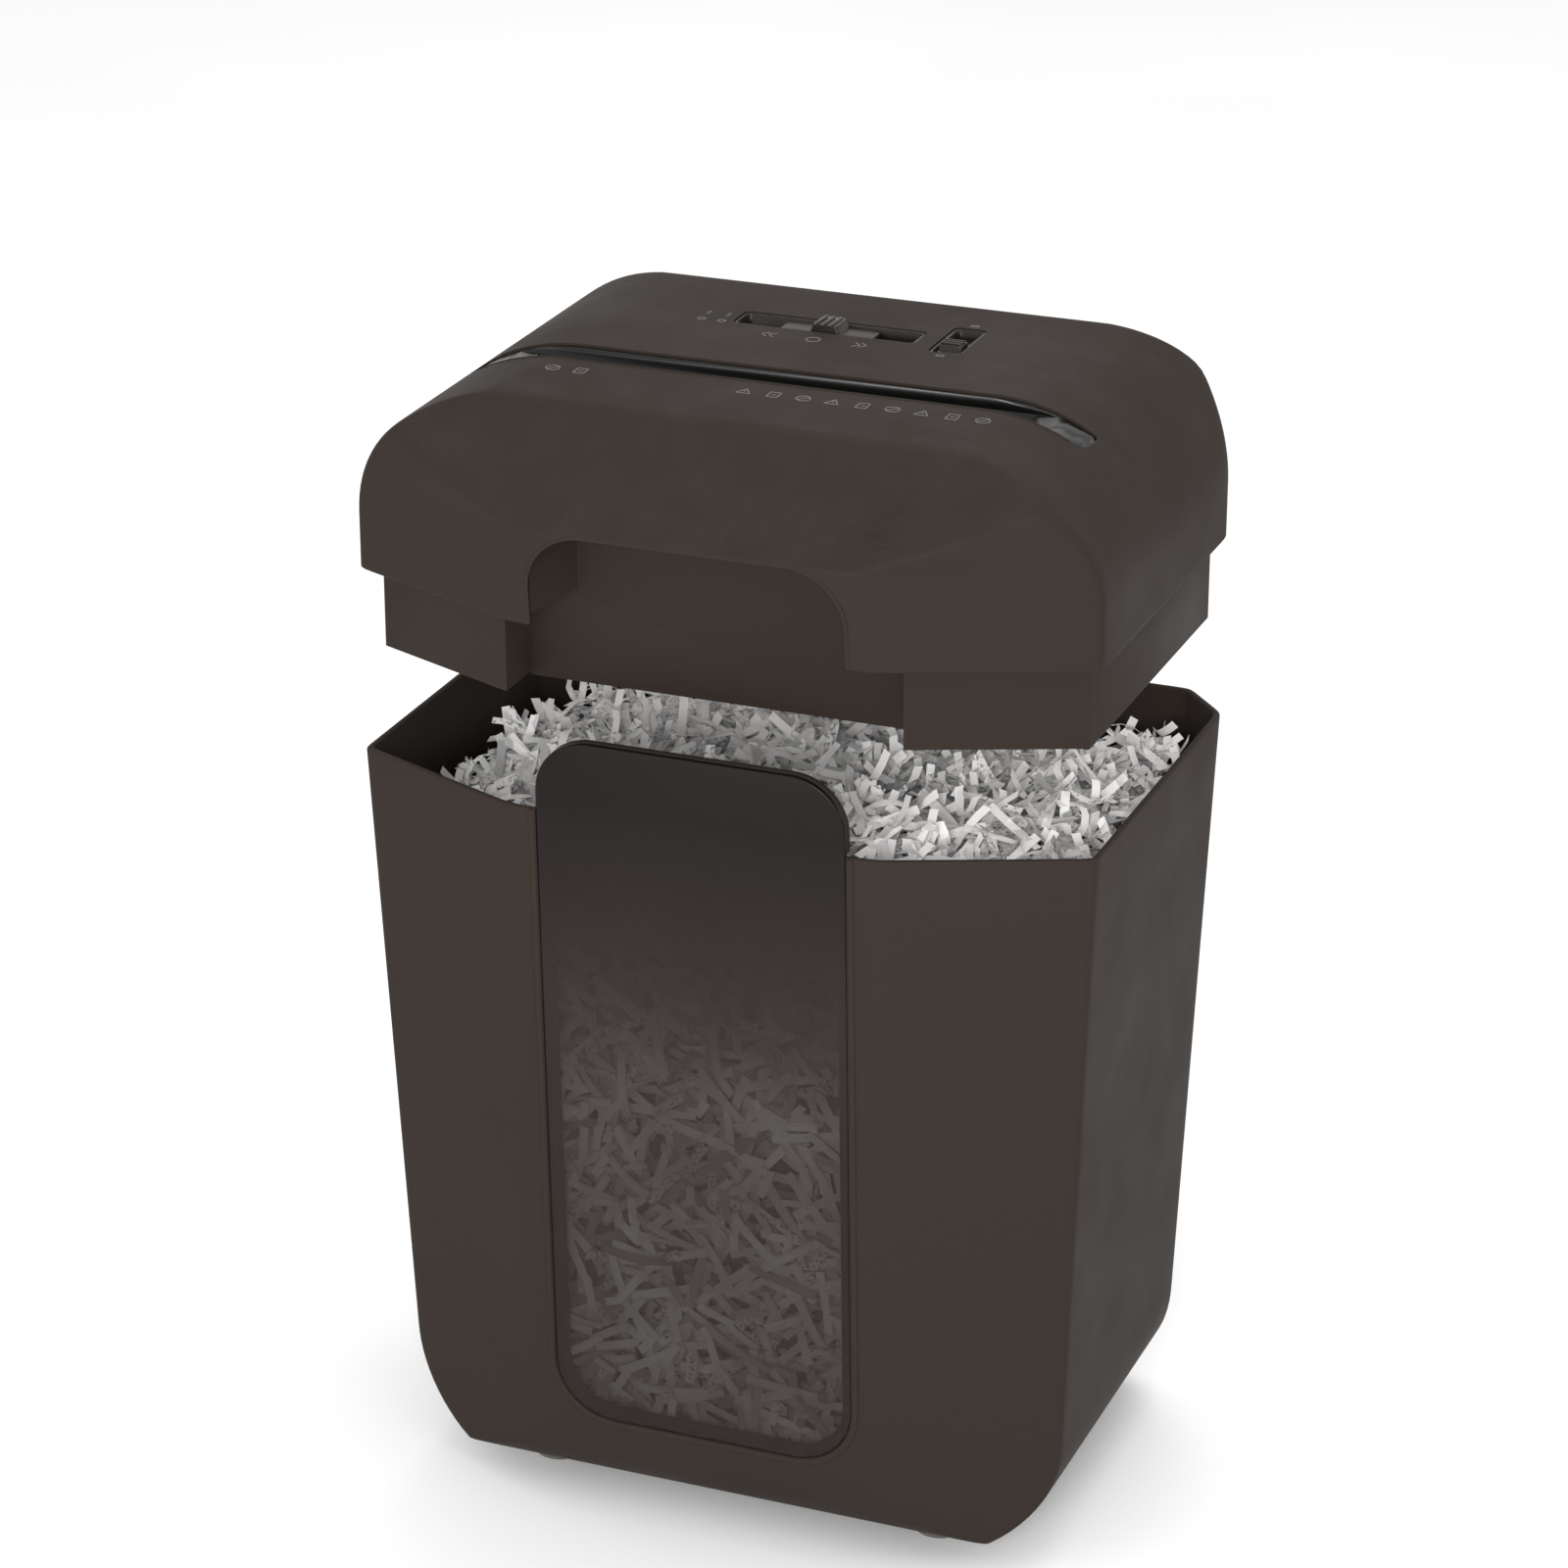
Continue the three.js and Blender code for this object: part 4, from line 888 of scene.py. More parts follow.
# ---- Bin ----
def panel_outline(margin, top):
    low = -(RIM - PANEL_LOW.z) / math.cos(FRONT_DRAFT) + margin
    return rounded_rectangle(
        -PANEL_HALF + margin, PANEL_HALF - margin, low, top, PANEL_LOWER_ROUND - margin, 0, steps=12)


def window_path(margin, top):
    """Open outline round the window: down the left side, along the bottom and up the right."""
    half = PANEL_HALF - margin
    low = -(RIM - PANEL_LOW.z) / math.cos(FRONT_DRAFT) + margin
    bend_round = PANEL_LOWER_ROUND - margin
    left = [(-half, v) for v in np.linspace(top, low + bend_round, 24)[:-1]]
    right = [(half, v) for v in np.linspace(low + bend_round, top, 24)[1:]]
    bottom = [(u, low) for u in np.linspace(-half + bend_round, half - bend_round, 10)[1:-1]]
    return (left + arc((-half + bend_round, low + bend_round), bend_round, 180, 270, 12) + bottom
            + arc((half - bend_round, low + bend_round), bend_round, 270, 360, 12) + right)


def build_bin():
    """Tapered bin with bent corners into its underside, a rolled rim and the window's aperture."""
    rings = [bin_ring(z, 0) for z in bin_levels(0)]
    for a in np.radians([30, 60, 90]):
        rings.append(bin_ring(RIM - RIM_ROUND * (1 - math.sin(a)), RIM_ROUND * (1 - math.cos(a))))
    for a in np.radians([90, 60, 30, 0]):
        rings.append(bin_ring(RIM - RIM_ROUND * (1 - math.sin(a)), WALL - RIM_ROUND * (1 - math.cos(a))))
    rings += [bin_ring(z, WALL) for z in bin_levels(WALL)[-2::-1]]
    points, loops = stack(rings)
    shell = add_piece("bin_body", points, loops, "case", "bin", replaces=("bin_shell",))
    carve(shell, [prism(panel_outline(-FIT_GAP, 40 * MM), on_facet, -20 * MM, 20 * MM)])

    outer = window_path(-FIT_GAP - SEAT_LIP, -1.5 * MM)
    inner = window_path(SEAT_LIP, -1.5 * MM)
    seat = prism(outer + inner[::-1], on_facet, -PANEL_THICK - FIT_GAP - FRAME_THICK, -PANEL_THICK - FIT_GAP)
    frame_piece = add_solid("window_frame", seat, "case", "bin")
    soften(frame_piece, 0.5 * MM)

    half_bead = sizes().bead_width / 2
    path = window_path(-FIT_GAP - half_bead - 0.3 * MM, -0.6 * MM)
    profile = [(half_bead * math.cos(a), sizes().bead_height * math.sin(a))
               for a in np.linspace(0, math.pi, 9)] + [(-half_bead, -0.6 * MM), (half_bead, -0.6 * MM)]
    out = np.array(on_facet(0, 0, 1)) - np.array(on_facet(0, 0, 0))
    bead = sweep([on_facet(u, v, 0) for u, v in path], [out] * len(path), profile)
    add_solid("window_bead", bead, "case", "bin", smooth=50.0)

    add_rib()
    add_underside_ribs()


def add_rib():
    """Rib on the rear wall that works the interlock in the head."""
    x, y, _ = middle_of("interlock_plunger")
    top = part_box("interlock_plunger")[0].z - HEAD_LIFT - 1.2 * MM
    outline = [(y - 2 * MM, top), (y - 2 * MM, top - 8 * MM), (REAR - 1.6 * MM, top - 22 * MM),
               (REAR - 1.6 * MM, top)]
    rib = add_solid("interlock_rib", prism(outline, in_side_view, x - 2 * MM, x + 2 * MM), "case", "bin")
    soften(rib, 0.5 * MM)


def add_underside_ribs():
    """Shallow stiffening ribs moulded under the bin between the feet."""
    front_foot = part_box("foot_front_right")[1]
    reach = front_foot.x - 8 * MM - 22 * MM
    half = 1.5 * MM
    bars = [(-reach, reach, middle_of(node)[1] - half, middle_of(node)[1] + half)
            for node in ("foot_front_right", "foot_rear_right")]
    low, high = front_foot.y + 4 * MM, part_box("foot_rear_right")[0].y - 4 * MM
    bars += [(x - half, x + half, low, high) for x in (-60 * MM, 0, 60 * MM)]
    outlines = [rounded_rectangle(*bar, 1.4 * MM, steps=3) for bar in bars]
    solids = [plate(outline, in_plan, BASE - 1.6 * MM, BASE + 1 * MM, 0.4 * MM) for outline in outlines]
    add_solid("underside_ribs", merged(*solids), "case", "bin")


def build_window():
    """Smoked panel with a polished edge, and the opaque backing of its tongue."""
    top = (PANEL_HIGH.z - RIM) / math.cos(FRONT_DRAFT)
    low = -(RIM - PANEL_LOW.z) / math.cos(FRONT_DRAFT)
    outline = rounded_rectangle(
        -PANEL_HALF, PANEL_HALF, low, top, PANEL_LOWER_ROUND, PANEL_UPPER_ROUND, steps=16)
    panel = plate(outline, on_facet, -PANEL_THICK, 0, 0.7 * MM)
    add_solid("smoked_window", panel, "smoked_panel", "bin", replaces=("window_panel",))

    back = PANEL_THICK + FIT_GAP
    tongue = rounded_rectangle(
        -PANEL_HALF, PANEL_HALF, FIT_GAP, top, 0.5 * MM, PANEL_UPPER_ROUND, steps=16)
    hook_half = PANEL_HALF - SEAT_LIP - FIT_GAP
    hook = rounded_rectangle(-hook_half, hook_half, -9 * MM, 1 * MM, 2 * MM, 0.4 * MM, steps=4)
    backing = merged(
        plate(tongue, on_facet, -back - 4 * MM, -back, 1.1 * MM, 4),
        plate(hook, on_facet, -back - 4 * MM, -back - 0.2 * MM, 0.6 * MM),
    )
    add_solid("tongue_lining", backing, "case", "bin", replaces=("tongue_backing",))


def build_feet():
    """Moulded rubber feet with a rounded tread and a recessed centre."""
    for node in ("foot_front_left", "foot_front_right", "foot_rear_left", "foot_rear_right"):
        low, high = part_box(node)
        x, y, _ = middle_of(node)
        radius = (high.x - low.x) / 2
        profile = [(0.55, 0.9), (0.60, 0.0), (0.86, 0.0), (0.95, 0.25), (1.0, 0.9), (1.0, 3.4),
                   (0.93, 3.8), (0.93, 4.4), (0.99, 4.8), (0.97, 6.4)]
        rings = [level_circle(x, y, low.z + min(rise * MM, high.z - low.z), radius * share, 48)
                 for share, rise in profile]
        add_solid("rubber_" + node, stack(rings), "foot_rubber", "bin", smooth=40.0, replaces=(node,))


# ---- Paper ----
def ribbon(lengths, width, curls, twists, places, yaws, tilts, rolls, segments=6):
    """Points of many thin curled strips, as an array of strip, section, corner and axis."""
    count = len(lengths)
    along = np.linspace(-0.5, 0.5, segments + 1)[None, :] * lengths[:, None]
    angle = curls[:, None] * along
    safe = np.where(np.abs(curls) < 1e-3, 1e-3, curls)[:, None]
    centre = np.stack([np.sin(angle) / safe, np.zeros_like(angle), (1 - np.cos(angle)) / safe], axis=2)
    twist = twists[:, None] * along
    side = np.stack([np.sin(angle) * np.sin(twist), np.cos(twist), np.cos(angle) * np.sin(twist)], axis=2)
    lift = np.stack([-np.sin(angle) * np.cos(twist), -np.sin(twist), np.cos(angle) * np.cos(twist)], axis=2)
    thick = 0.11 * MM
    corners = [centre + side * (a * width / 2) + lift * (b * thick / 2)
               for a, b in ((-1, -1), (1, -1), (1, 1), (-1, 1))]
    points = np.stack(corners, axis=2)
    cy, sy = np.cos(yaws), np.sin(yaws)
    ct, st = np.cos(tilts), np.sin(tilts)
    cr, sr = np.cos(rolls), np.sin(rolls)
    turn = np.empty((count, 3, 3))
    turn[:, 0] = np.stack([cy * ct, cy * st * sr - sy * cr, cy * st * cr + sy * sr], axis=1)
    turn[:, 1] = np.stack([sy * ct, sy * st * sr + cy * cr, sy * st * cr - cy * sr], axis=1)
    turn[:, 2] = np.stack([-st, ct * sr, ct * cr], axis=1)
    return np.einsum("nij,nskj->nski", turn, points) + places[:, None, None, :]


def inside_bin(points, margin):
    """Which strips lie wholly inside the bin's walls."""
    low = points[..., 2].min(axis=(1, 2))
    kept = np.ones(len(points), bool)
    for level in (0.06, 0.12, 0.2, 0.27, 0.31):
        normals, reach = bin_sides(level, WALL + margin)
        beyond = (points[..., :2] @ normals.T - reach).max(axis=(1, 2, 3))
        kept &= (beyond < 0) | (low > level + 0.06)
    return kept


def paint(mesh, **values):
    """Stores one number at each point of a mesh for its material to read."""
    for label, amounts in values.items():
        attribute = mesh.attributes.new(label, "FLOAT", "POINT")
        attribute.data.foreach_set("value", amounts.astype(np.float32))


def add_strips(name, points, tones, prints, replaces=()):
    """Turns the strips' points into one mesh with a tone and a print value for each strip."""
    count, sections = points.shape[:2]
    quads = []
    for s in range(sections - 1):
        for k in range(4):
            quads.append((4 * s + k, 4 * s + (k + 1) % 4, 4 * s + 4 + (k + 1) % 4, 4 * s + 4 + k))
    quads += [(3, 2, 1, 0), tuple(4 * (sections - 1) + k for k in range(4))]
    start = np.arange(count)[:, None, None] * sections * 4
    faces = (np.array(quads)[None] + start).reshape(-1, 4)
    mesh = bpy.data.meshes.new(name)
    mesh.from_pydata(points.reshape(-1, 3), [], faces)
    paint(mesh, tone=np.repeat(tones, sections * 4), print=np.repeat(prints, sections * 4))
    outward(mesh)
    return add_mesh(name, mesh, "paper", "bin", smooth=50.0, replaces=replaces)


def heap_height(x, y):
    """Top of the loose paper: a mound that leans to the front and right, with hollows."""
    mound = 11 * np.exp(-((x - 0.03) / 0.13) ** 2 - ((y + 0.03) / 0.10) ** 2)
    lumps = 4 * np.sin(x * 47 + 1.3) * np.cos(y * 53 + 0.4) + 2.5 * np.sin(x * 93 + y * 71)
    edge = -7 * np.clip((np.abs(x) - 0.125) / 0.035, 0, 1) - 6 * np.clip((y - 0.07) / 0.045, 0, 1)
    return RIM + (-24 + mound + lumps + edge + 9 * x / HALF) * MM


def tones_for(rng, count):
    tones = rng.uniform(0.82, 1.0, count)
    grey = rng.random(count) < 0.12
    tones[grey] = rng.uniform(0.35, 0.7, grey.sum())
    prints = np.where(rng.random(count) < 0.14, 1.0, 0.0)
    return tones, prints


def build_heap():
    """Loose cross-cut strips on top of the heap."""
    rng = np.random.default_rng(sizes().seed)
    count = int(sizes().heap_shreds * 1.5)
    x = rng.uniform(-0.158, 0.158, count)
    y = rng.uniform(FRONT + 12 * MM, REAR - 9 * MM, count)
    depth = rng.random(count) ** 1.4 * 16 * MM
    lengths = rng.uniform(sizes().shred_shortest, sizes().shred_longest, count)
    upright = rng.random(count) < 0.045
    tilts = np.where(upright, rng.uniform(-1.35, 1.35, count), rng.normal(0, 0.42, count))
    rolls = rng.normal(0, 0.45, count)
    curls = rng.normal(0, 38, count)
    curls = np.where(rng.random(count) < 0.12, rng.uniform(80, 190, count), curls)
    twists = rng.normal(0, 14, count)
    z = heap_height(x, y) - depth + np.where(upright, 4 * MM, 0)
    points = ribbon(lengths, sizes().shred_width, curls, twists, np.stack([x, y, z], axis=1),
                    rng.uniform(0, 2 * math.pi, count), tilts, rolls)
    top_limit = RIM + 6 * MM
    kept = inside_bin(points, 0.6 * MM) & (points[..., 2].max(axis=(1, 2)) < top_limit)
    points = points[kept][: sizes().heap_shreds]
    tones, prints = tones_for(rng, len(points))
    heap = add_strips("loose_shreds", points, tones, prints)
    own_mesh(heap)


def build_packed_paper():
    """Body of the heap: packed paper with a lumpy top, painted darker grey as shade deep in the heap, and the
    strips that lie against the window.
    """
    rng = np.random.default_rng(sizes().seed + 1)
    low = BASE + WALL + 1.5 * MM
    levels = [z for z in bin_levels(WALL + 9 * MM) if z > low and z < RIM - 46 * MM] + [RIM - 46 * MM]
    rings = []
    for i, z in enumerate(levels):
        points = bin_ring(z, WALL + 9 * MM)
        points[:, 1] = np.maximum(points[:, 1], FRONT + math.tan(FRONT_DRAFT) * (RIM - z) + 24 * MM)
        wobble = rng.normal(0, 1.1 * MM, len(points)) if 0 < i < len(levels) - 1 else 0
        points[:, 2] += wobble
        rings.append(points)
    tops = [rings[-1] * (1 - share) + np.array([0, 0.01, levels[-1]]) * share for share in (0.15, 0.4, 0.7)]
    for top in tops:
        top[:, 2] = levels[-1] + rng.normal(0, 1.5 * MM, len(top)) + 2 * MM
    core = stack(rings + tops)
    packed = add_piece("packed_paper", *core, "paper", "bin", smooth=20.0, replaces=("shredded_paper",))
    # Painted shade: the packed paper gets a low tone, so it reads as paper in shadow under the loose strips.
    tones = rng.uniform(0.25, 0.5, len(packed.data.vertices))
    paint(packed.data, tone=tones, print=np.zeros(len(tones)))

    count = int(sizes().window_shreds * 1.25)
    u = rng.uniform(-PANEL_HALF - 3 * MM, PANEL_HALF + 3 * MM, count)
    z = rng.uniform(PANEL_LOW.z - 4 * MM, RIM - 22 * MM, count)
    behind = PANEL_THICK + 3.5 * MM + rng.random(count) ** 1.3 * 15 * MM
    y = FRONT + np.tan(FRONT_DRAFT) * (RIM - z) + behind
    lengths = rng.uniform(sizes().shred_shortest, sizes().shred_longest * 1.05, count)
    flat = math.pi / 2 + rng.normal(0, 0.30, count)
    points = ribbon(lengths, sizes().shred_width, rng.normal(0, 22, count), rng.normal(0, 9, count),
                    np.zeros((count, 3)), rng.uniform(0, 2 * math.pi, count), rng.normal(0, 0.16, count),
                    np.zeros(count))
    cf, sf = np.cos(flat)[:, None, None], np.sin(flat)[:, None, None]
    turned = points.copy()
    turned[..., 1] = points[..., 1] * cf - points[..., 2] * sf
    turned[..., 2] = points[..., 1] * sf + points[..., 2] * cf
    points = turned + np.stack([u, y, z], axis=1)[:, None, None, :]
    seat = PANEL_THICK + FIT_GAP + FRAME_THICK + 0.3 * MM
    glass = FRONT + np.tan(FRONT_DRAFT) * (RIM - points[..., 2]) + seat
    kept = (points[..., 1] - glass).min(axis=(1, 2)) > 0
    kept &= points[..., 2].min(axis=(1, 2)) > PANEL_LOW.z - 12 * MM
    points = points[kept][: sizes().window_shreds]
    tones, prints = tones_for(rng, len(points))
    add_strips("window_shreds", points, tones, prints)


# ---- Cover ----
COVER_CRISPNESS = 105
COVER_FILLS = (22, 22, 3, 1, 3, 1, 3, 22)
SHOULDER_SOFTNESS = 11 * MM
SHOULDER_SWELL = 5 * MM
COVER_CENTRE = (0.0, 0.032)


def fascia_profile():
    """Front of the cover in side view, as heights and the matching places in Y."""
    top = TOP - STRIP_DROP
    nose_z = COVER_BASE + NOSE_RISE
    points = [(NOSE + LIP_SETBACK, COVER_BASE)]
    nose_round = [(NOSE + 0.9 * MM, nose_z - 5 * MM), (NOSE + 0.35 * MM, nose_z - 1.5 * MM),
                  (NOSE + 0.9 * MM, nose_z + 1.2 * MM)]
    points += nose_round
    for share in np.linspace(0.92, 0.06, 9):
        sag = FASCIA_SAG * 4 * share * (1 - share) * math.sqrt(0.5)
        points.append((STRIP_EDGE + (NOSE - STRIP_EDGE) * share + sag, top + (nose_z - top) * share - sag))
    points += [(STRIP_EDGE - 1.4 * MM, top - 1.05 * MM), (STRIP_EDGE + 0.6 * MM, top - 0.22 * MM),
               (STRIP_EDGE + 3.4 * MM, top + 0.02 * MM), (THROAT_Y - 30 * MM, top + 0.62 * STRIP_DROP),
               (THROAT_Y, TOP)]
    return np.array(points)


FASCIA = fascia_profile()


def cover_sides(z, margin):
    """Sides of the cover at a height, moved in by a margin."""
    slope = FRONT_BOW / (HALF - FACET)
    points = rim_outline()
    overhang = FRONT - NOSE
    points[0] = (-FACET + overhang / slope, NOSE)
    points[1] = (FACET - overhang / slope, NOSE)
    points = points - np.array(COVER_CENTRE)
    normals, reach = planes_of(points)
    level = min(z + margin, TOP)
    front = float(np.interp(level, FASCIA[:, 1], FASCIA[:, 0]))
    rise = TOP - COVER_BASE - SHOULDER
    above = min(max(level - COVER_BASE - SHOULDER, 0) / rise, 1)
    side = CROWN_FLAT + (HALF - CROWN_FLAT) * math.sqrt(1 - above * above)
    over = max(level - (TOP - REAR_ROUND), 0)
    rear = REAR - REAR_ROUND + math.sqrt(max(REAR_ROUND ** 2 - over ** 2, 0))
    reach[FRONT_SIDE] = COVER_CENTRE[1] - front
    reach[RIGHT_SIDE] = side - COVER_CENTRE[0]
    reach[LEFT_SIDE] = side + COVER_CENTRE[0]
    reach[REAR_SIDE] = min(reach[REAR_SIDE], rear - COVER_CENTRE[1])
    return normals, reach - margin


def cover_ring(z, margin, inset=0.0):
    normals, reach = cover_sides(z, margin)
    points = ring(normals, reach - inset, COVER_CRISPNESS, COVER_CENTRE, z, COVER_FILLS)
    points[:, 1] -= shoulder_swell(points[:, 0], z + margin)
    return points


def shoulder_swell(x, z):
    """How far the shoulders either side of the fascia's hollow stand forward of it."""
    low, high = COVER_BASE + NOSE_RISE, TOP - STRIP_DROP
    share = float(np.clip((high - z) / (high - low), 0, 1))
    hollow_half = CROWN_FLAT + (ARCH_HALF + 3 * MM - CROWN_FLAT) * share
    beyond = np.clip((np.abs(x) - hollow_half) / SHOULDER_SOFTNESS + 0.35, 0, 1)
    fade = 1 - np.clip((np.abs(x) - hollow_half - 20 * MM) / (45 * MM), 0, 1)
    return SHOULDER_SWELL * math.sin(math.pi * share) ** 0.8 * beyond ** 2 * (3 - 2 * beyond) * fade


def cover_levels():
    rise = TOP - COVER_BASE - SHOULDER
    crown = [COVER_BASE + SHOULDER + rise * math.sin(a) for a in np.linspace(0, math.pi / 2, 26)]
    rear = [TOP - REAR_ROUND + REAR_ROUND * math.sin(a) for a in np.linspace(0, math.pi / 2, 9)]
    wall = list(np.linspace(COVER_BASE + 3 * MM, COVER_BASE + SHOULDER, 6))
    levels = sorted(wall + crown + rear + [z for z in FASCIA[:, 1] if z > COVER_BASE + 3 * MM])
    kept = [levels[0]]
    for z in levels[1:]:
        if z - kept[-1] > 0.04 * MM:
            kept.append(z)
    kept[-1] = TOP
    return kept


def arch_outline(margin, low):
    return rounded_rectangle(-ARCH_HALF - margin, ARCH_HALF + margin, low, COVER_BASE + ARCH_RISE + margin,
                             0, ARCH_ROUND + margin, steps=14)


def box_of(node, grow=0.0):
    low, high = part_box(node)
    return low.x - grow, high.x + grow, low.y - grow, high.y + grow


def build_cover():
    """Crowned cover with its sloped fascia, finger arch, slot, control openings and rear vents."""
    lip = 0.9 * MM
    inner_top = TOP - SHELL_THICK - 0.4 * MM
    inner = [z for z in cover_levels() if z < inner_top - 0.5 * MM]
    rings = [cover_ring(inner_top, SHELL_THICK)]
    rings += [cover_ring(z, SHELL_THICK) for z in inner[::-1][::2]]
    rings.append(cover_ring(COVER_BASE + lip, SHELL_THICK))
    rings.append(cover_ring(COVER_BASE, 0, SHELL_THICK - lip * 0.6))
    for a in np.radians([90, 60, 30, 0]):
        rings.append(cover_ring(COVER_BASE + lip * (1 - math.sin(a)), 0, lip * (1 - math.cos(a))))
    rings += [cover_ring(z, 0) for z in cover_levels()]
    rings += [cover_ring(TOP, 0, inset) for inset in (1.5 * MM, 5 * MM, 14 * MM, 30 * MM)]
    points, loops = stack(rings)
    cover = add_piece("cover_shell", points, loops, "case", "head", replaces=("top_cover",))
    recess_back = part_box("grip_recess")[1].y - 2.8 * MM
    cuts = [prism(arch_outline(0, COVER_BASE - 20 * MM), in_front_view, NOSE - 20 * MM, recess_back)]
    for node, corner in (("throat_insert", 2.0), ("switch_bezel", 3.3), ("lock_bezel", 3.3)):
        x0, x1, y0, y1 = box_of(node, FIT_GAP)
        outline = rounded_rectangle(x0, x1, y0, y1, corner * MM, steps=4)
        cuts.append(prism(outline, in_plan, TOP - 30 * MM, TOP + 5 * MM))
    for node in ("led_power", "led_overheat"):
        x0, x1, y0, y1 = box_of(node, 0.15 * MM)
        outline = rounded_rectangle(x0, x1, y0, y1, 1.1 * MM, steps=4)
        cuts.append(prism(outline, in_plan, TOP - 12 * MM, TOP + 5 * MM))
    gland_x, _, gland_z = middle_of("cord_gland")
    gland_hole = arc((gland_x, gland_z), 7.3 * MM, 0, 345, 23)
    cuts.append(prism(gland_hole, in_front_view, REAR - 10 * MM, REAR + 5 * MM))
    for i in range(VENT_COUNT):
        x = VENT_START + i * VENT_PITCH
        slot = rounded_rectangle(x, x + VENT_WIDTH, *(COVER_BASE + z for z in VENT_RISE), 2.2 * MM, steps=5)
        cuts.append(prism(slot, in_front_view, REAR - 10 * MM, REAR + 5 * MM))
    carve(cover, cuts)
    add_arch_lip()
    add_throat_rims()
    add_bosses()


def fascia_y(x, z):
    """Where the cover's front skin stands at a place across and up."""
    normals, reach = cover_sides(z, 0)
    ys = [(r - n[0] * (x - COVER_CENTRE[0])) / n[1] for n, r in zip(normals, reach) if n[1] < -0.05]
    return COVER_CENTRE[1] + max(ys)


def add_arch_lip():
    """Rounded lip along the finger arch's edge."""
    low = COVER_BASE + 1 * MM
    high = COVER_BASE + ARCH_RISE
    inner = ARCH_HALF - ARCH_ROUND
    path = [(-ARCH_HALF, z) for z in np.linspace(low, high - ARCH_ROUND, 8)[:-1]]
    path += arc((-inner, high - ARCH_ROUND), ARCH_ROUND, 180, 90, 12)
    path += [(x, high) for x in np.linspace(-inner, inner, 12)[1:-1]]
    path += arc((inner, high - ARCH_ROUND), ARCH_ROUND, 90, 0, 12)
    path += [(ARCH_HALF, z) for z in np.linspace(high - ARCH_ROUND, low, 8)[1:]]
    points = [(x, fascia_y(x, z) + 0.5 * MM, z) for x, z in path]
    profile = [(0.85 * MM * math.cos(a), 0.85 * MM * math.sin(a)) for a in around(12)]
    lip = sweep(points, [(0, -1, 0)] * len(points), profile)
    add_solid("arch_lip", lip, "case", "head", smooth=60.0)


def add_throat_rims():
    """Two fine raised rims along the paper slot."""
    x0, x1, y0, y1 = box_of("throat_insert")
    solids = []
    for y in (y0 - 0.9 * MM, y1 + 0.9 * MM):
        steps = np.linspace(x0 + 6 * MM, x1 - 6 * MM, 60)
        points = [(x, y, crown_z(x, y) - 0.1 * MM) for x in steps]
        profile = [(0.55 * MM * math.cos(a), 0.55 * MM * math.sin(a)) for a in np.linspace(0, math.pi, 7)]
        profile += [(-0.55 * MM, -0.5 * MM), (0.55 * MM, -0.5 * MM)]
        solids.append(sweep(points, [(0, 0, 1)] * len(points), profile))
    add_solid("throat_rims", merged(*solids), "case", "head", smooth=60.0)


def crown_z(x, y):
    """Height of the cover's top skin at a place in plan."""
    rise = TOP - COVER_BASE - SHOULDER
    over = max(abs(x) - CROWN_FLAT, 0) / (HALF - CROWN_FLAT)
    crown = COVER_BASE + SHOULDER + rise * math.sqrt(max(1 - over * over, 0))
    return min(crown, float(np.interp(y, FASCIA[4:, 0], FASCIA[4:, 1])))


def add_bosses():
    """Screw posts inside the cover, over the housing's screws."""
    solids = []
    base = SKIRT_LOW.z + 17.9 * MM
    for i in range(1, 5):
        x, y, _ = middle_of(f"screw_{i}")
        sections = ((2.1, base + 20 * MM), (2.1, base), (4.5, base), (4.3, base + 34 * MM))
        solids.append(stack([level_circle(x, y, z, radius * MM, 24) for radius, z in sections]))
    add_solid("screw_posts", merged(*solids), "case", "head")


# ---- Head pieces that keep their CAD shape ----
HEAD_REFINED = {
    "lower_housing": ("skirt_housing", 0.7 * MM, None),
    "grip_recess": ("grip_hood", 0.7 * MM, None),
    "throat_insert": ("paper_throat", 0.5 * MM, None),
    "cord_gland": ("cable_gland", 0.5 * MM, "control"),
    "switch_bezel": ("switch_well", 0.35 * MM, None),
    "lock_bezel": ("lock_well", 0.35 * MM, None),
}


def build_head_pieces():
    """Skirt, grip recess, throat and control wells, with moulded edges."""
    for node, (name, width, finish) in HEAD_REFINED.items():
        refined(node, name, "head", width, finish)


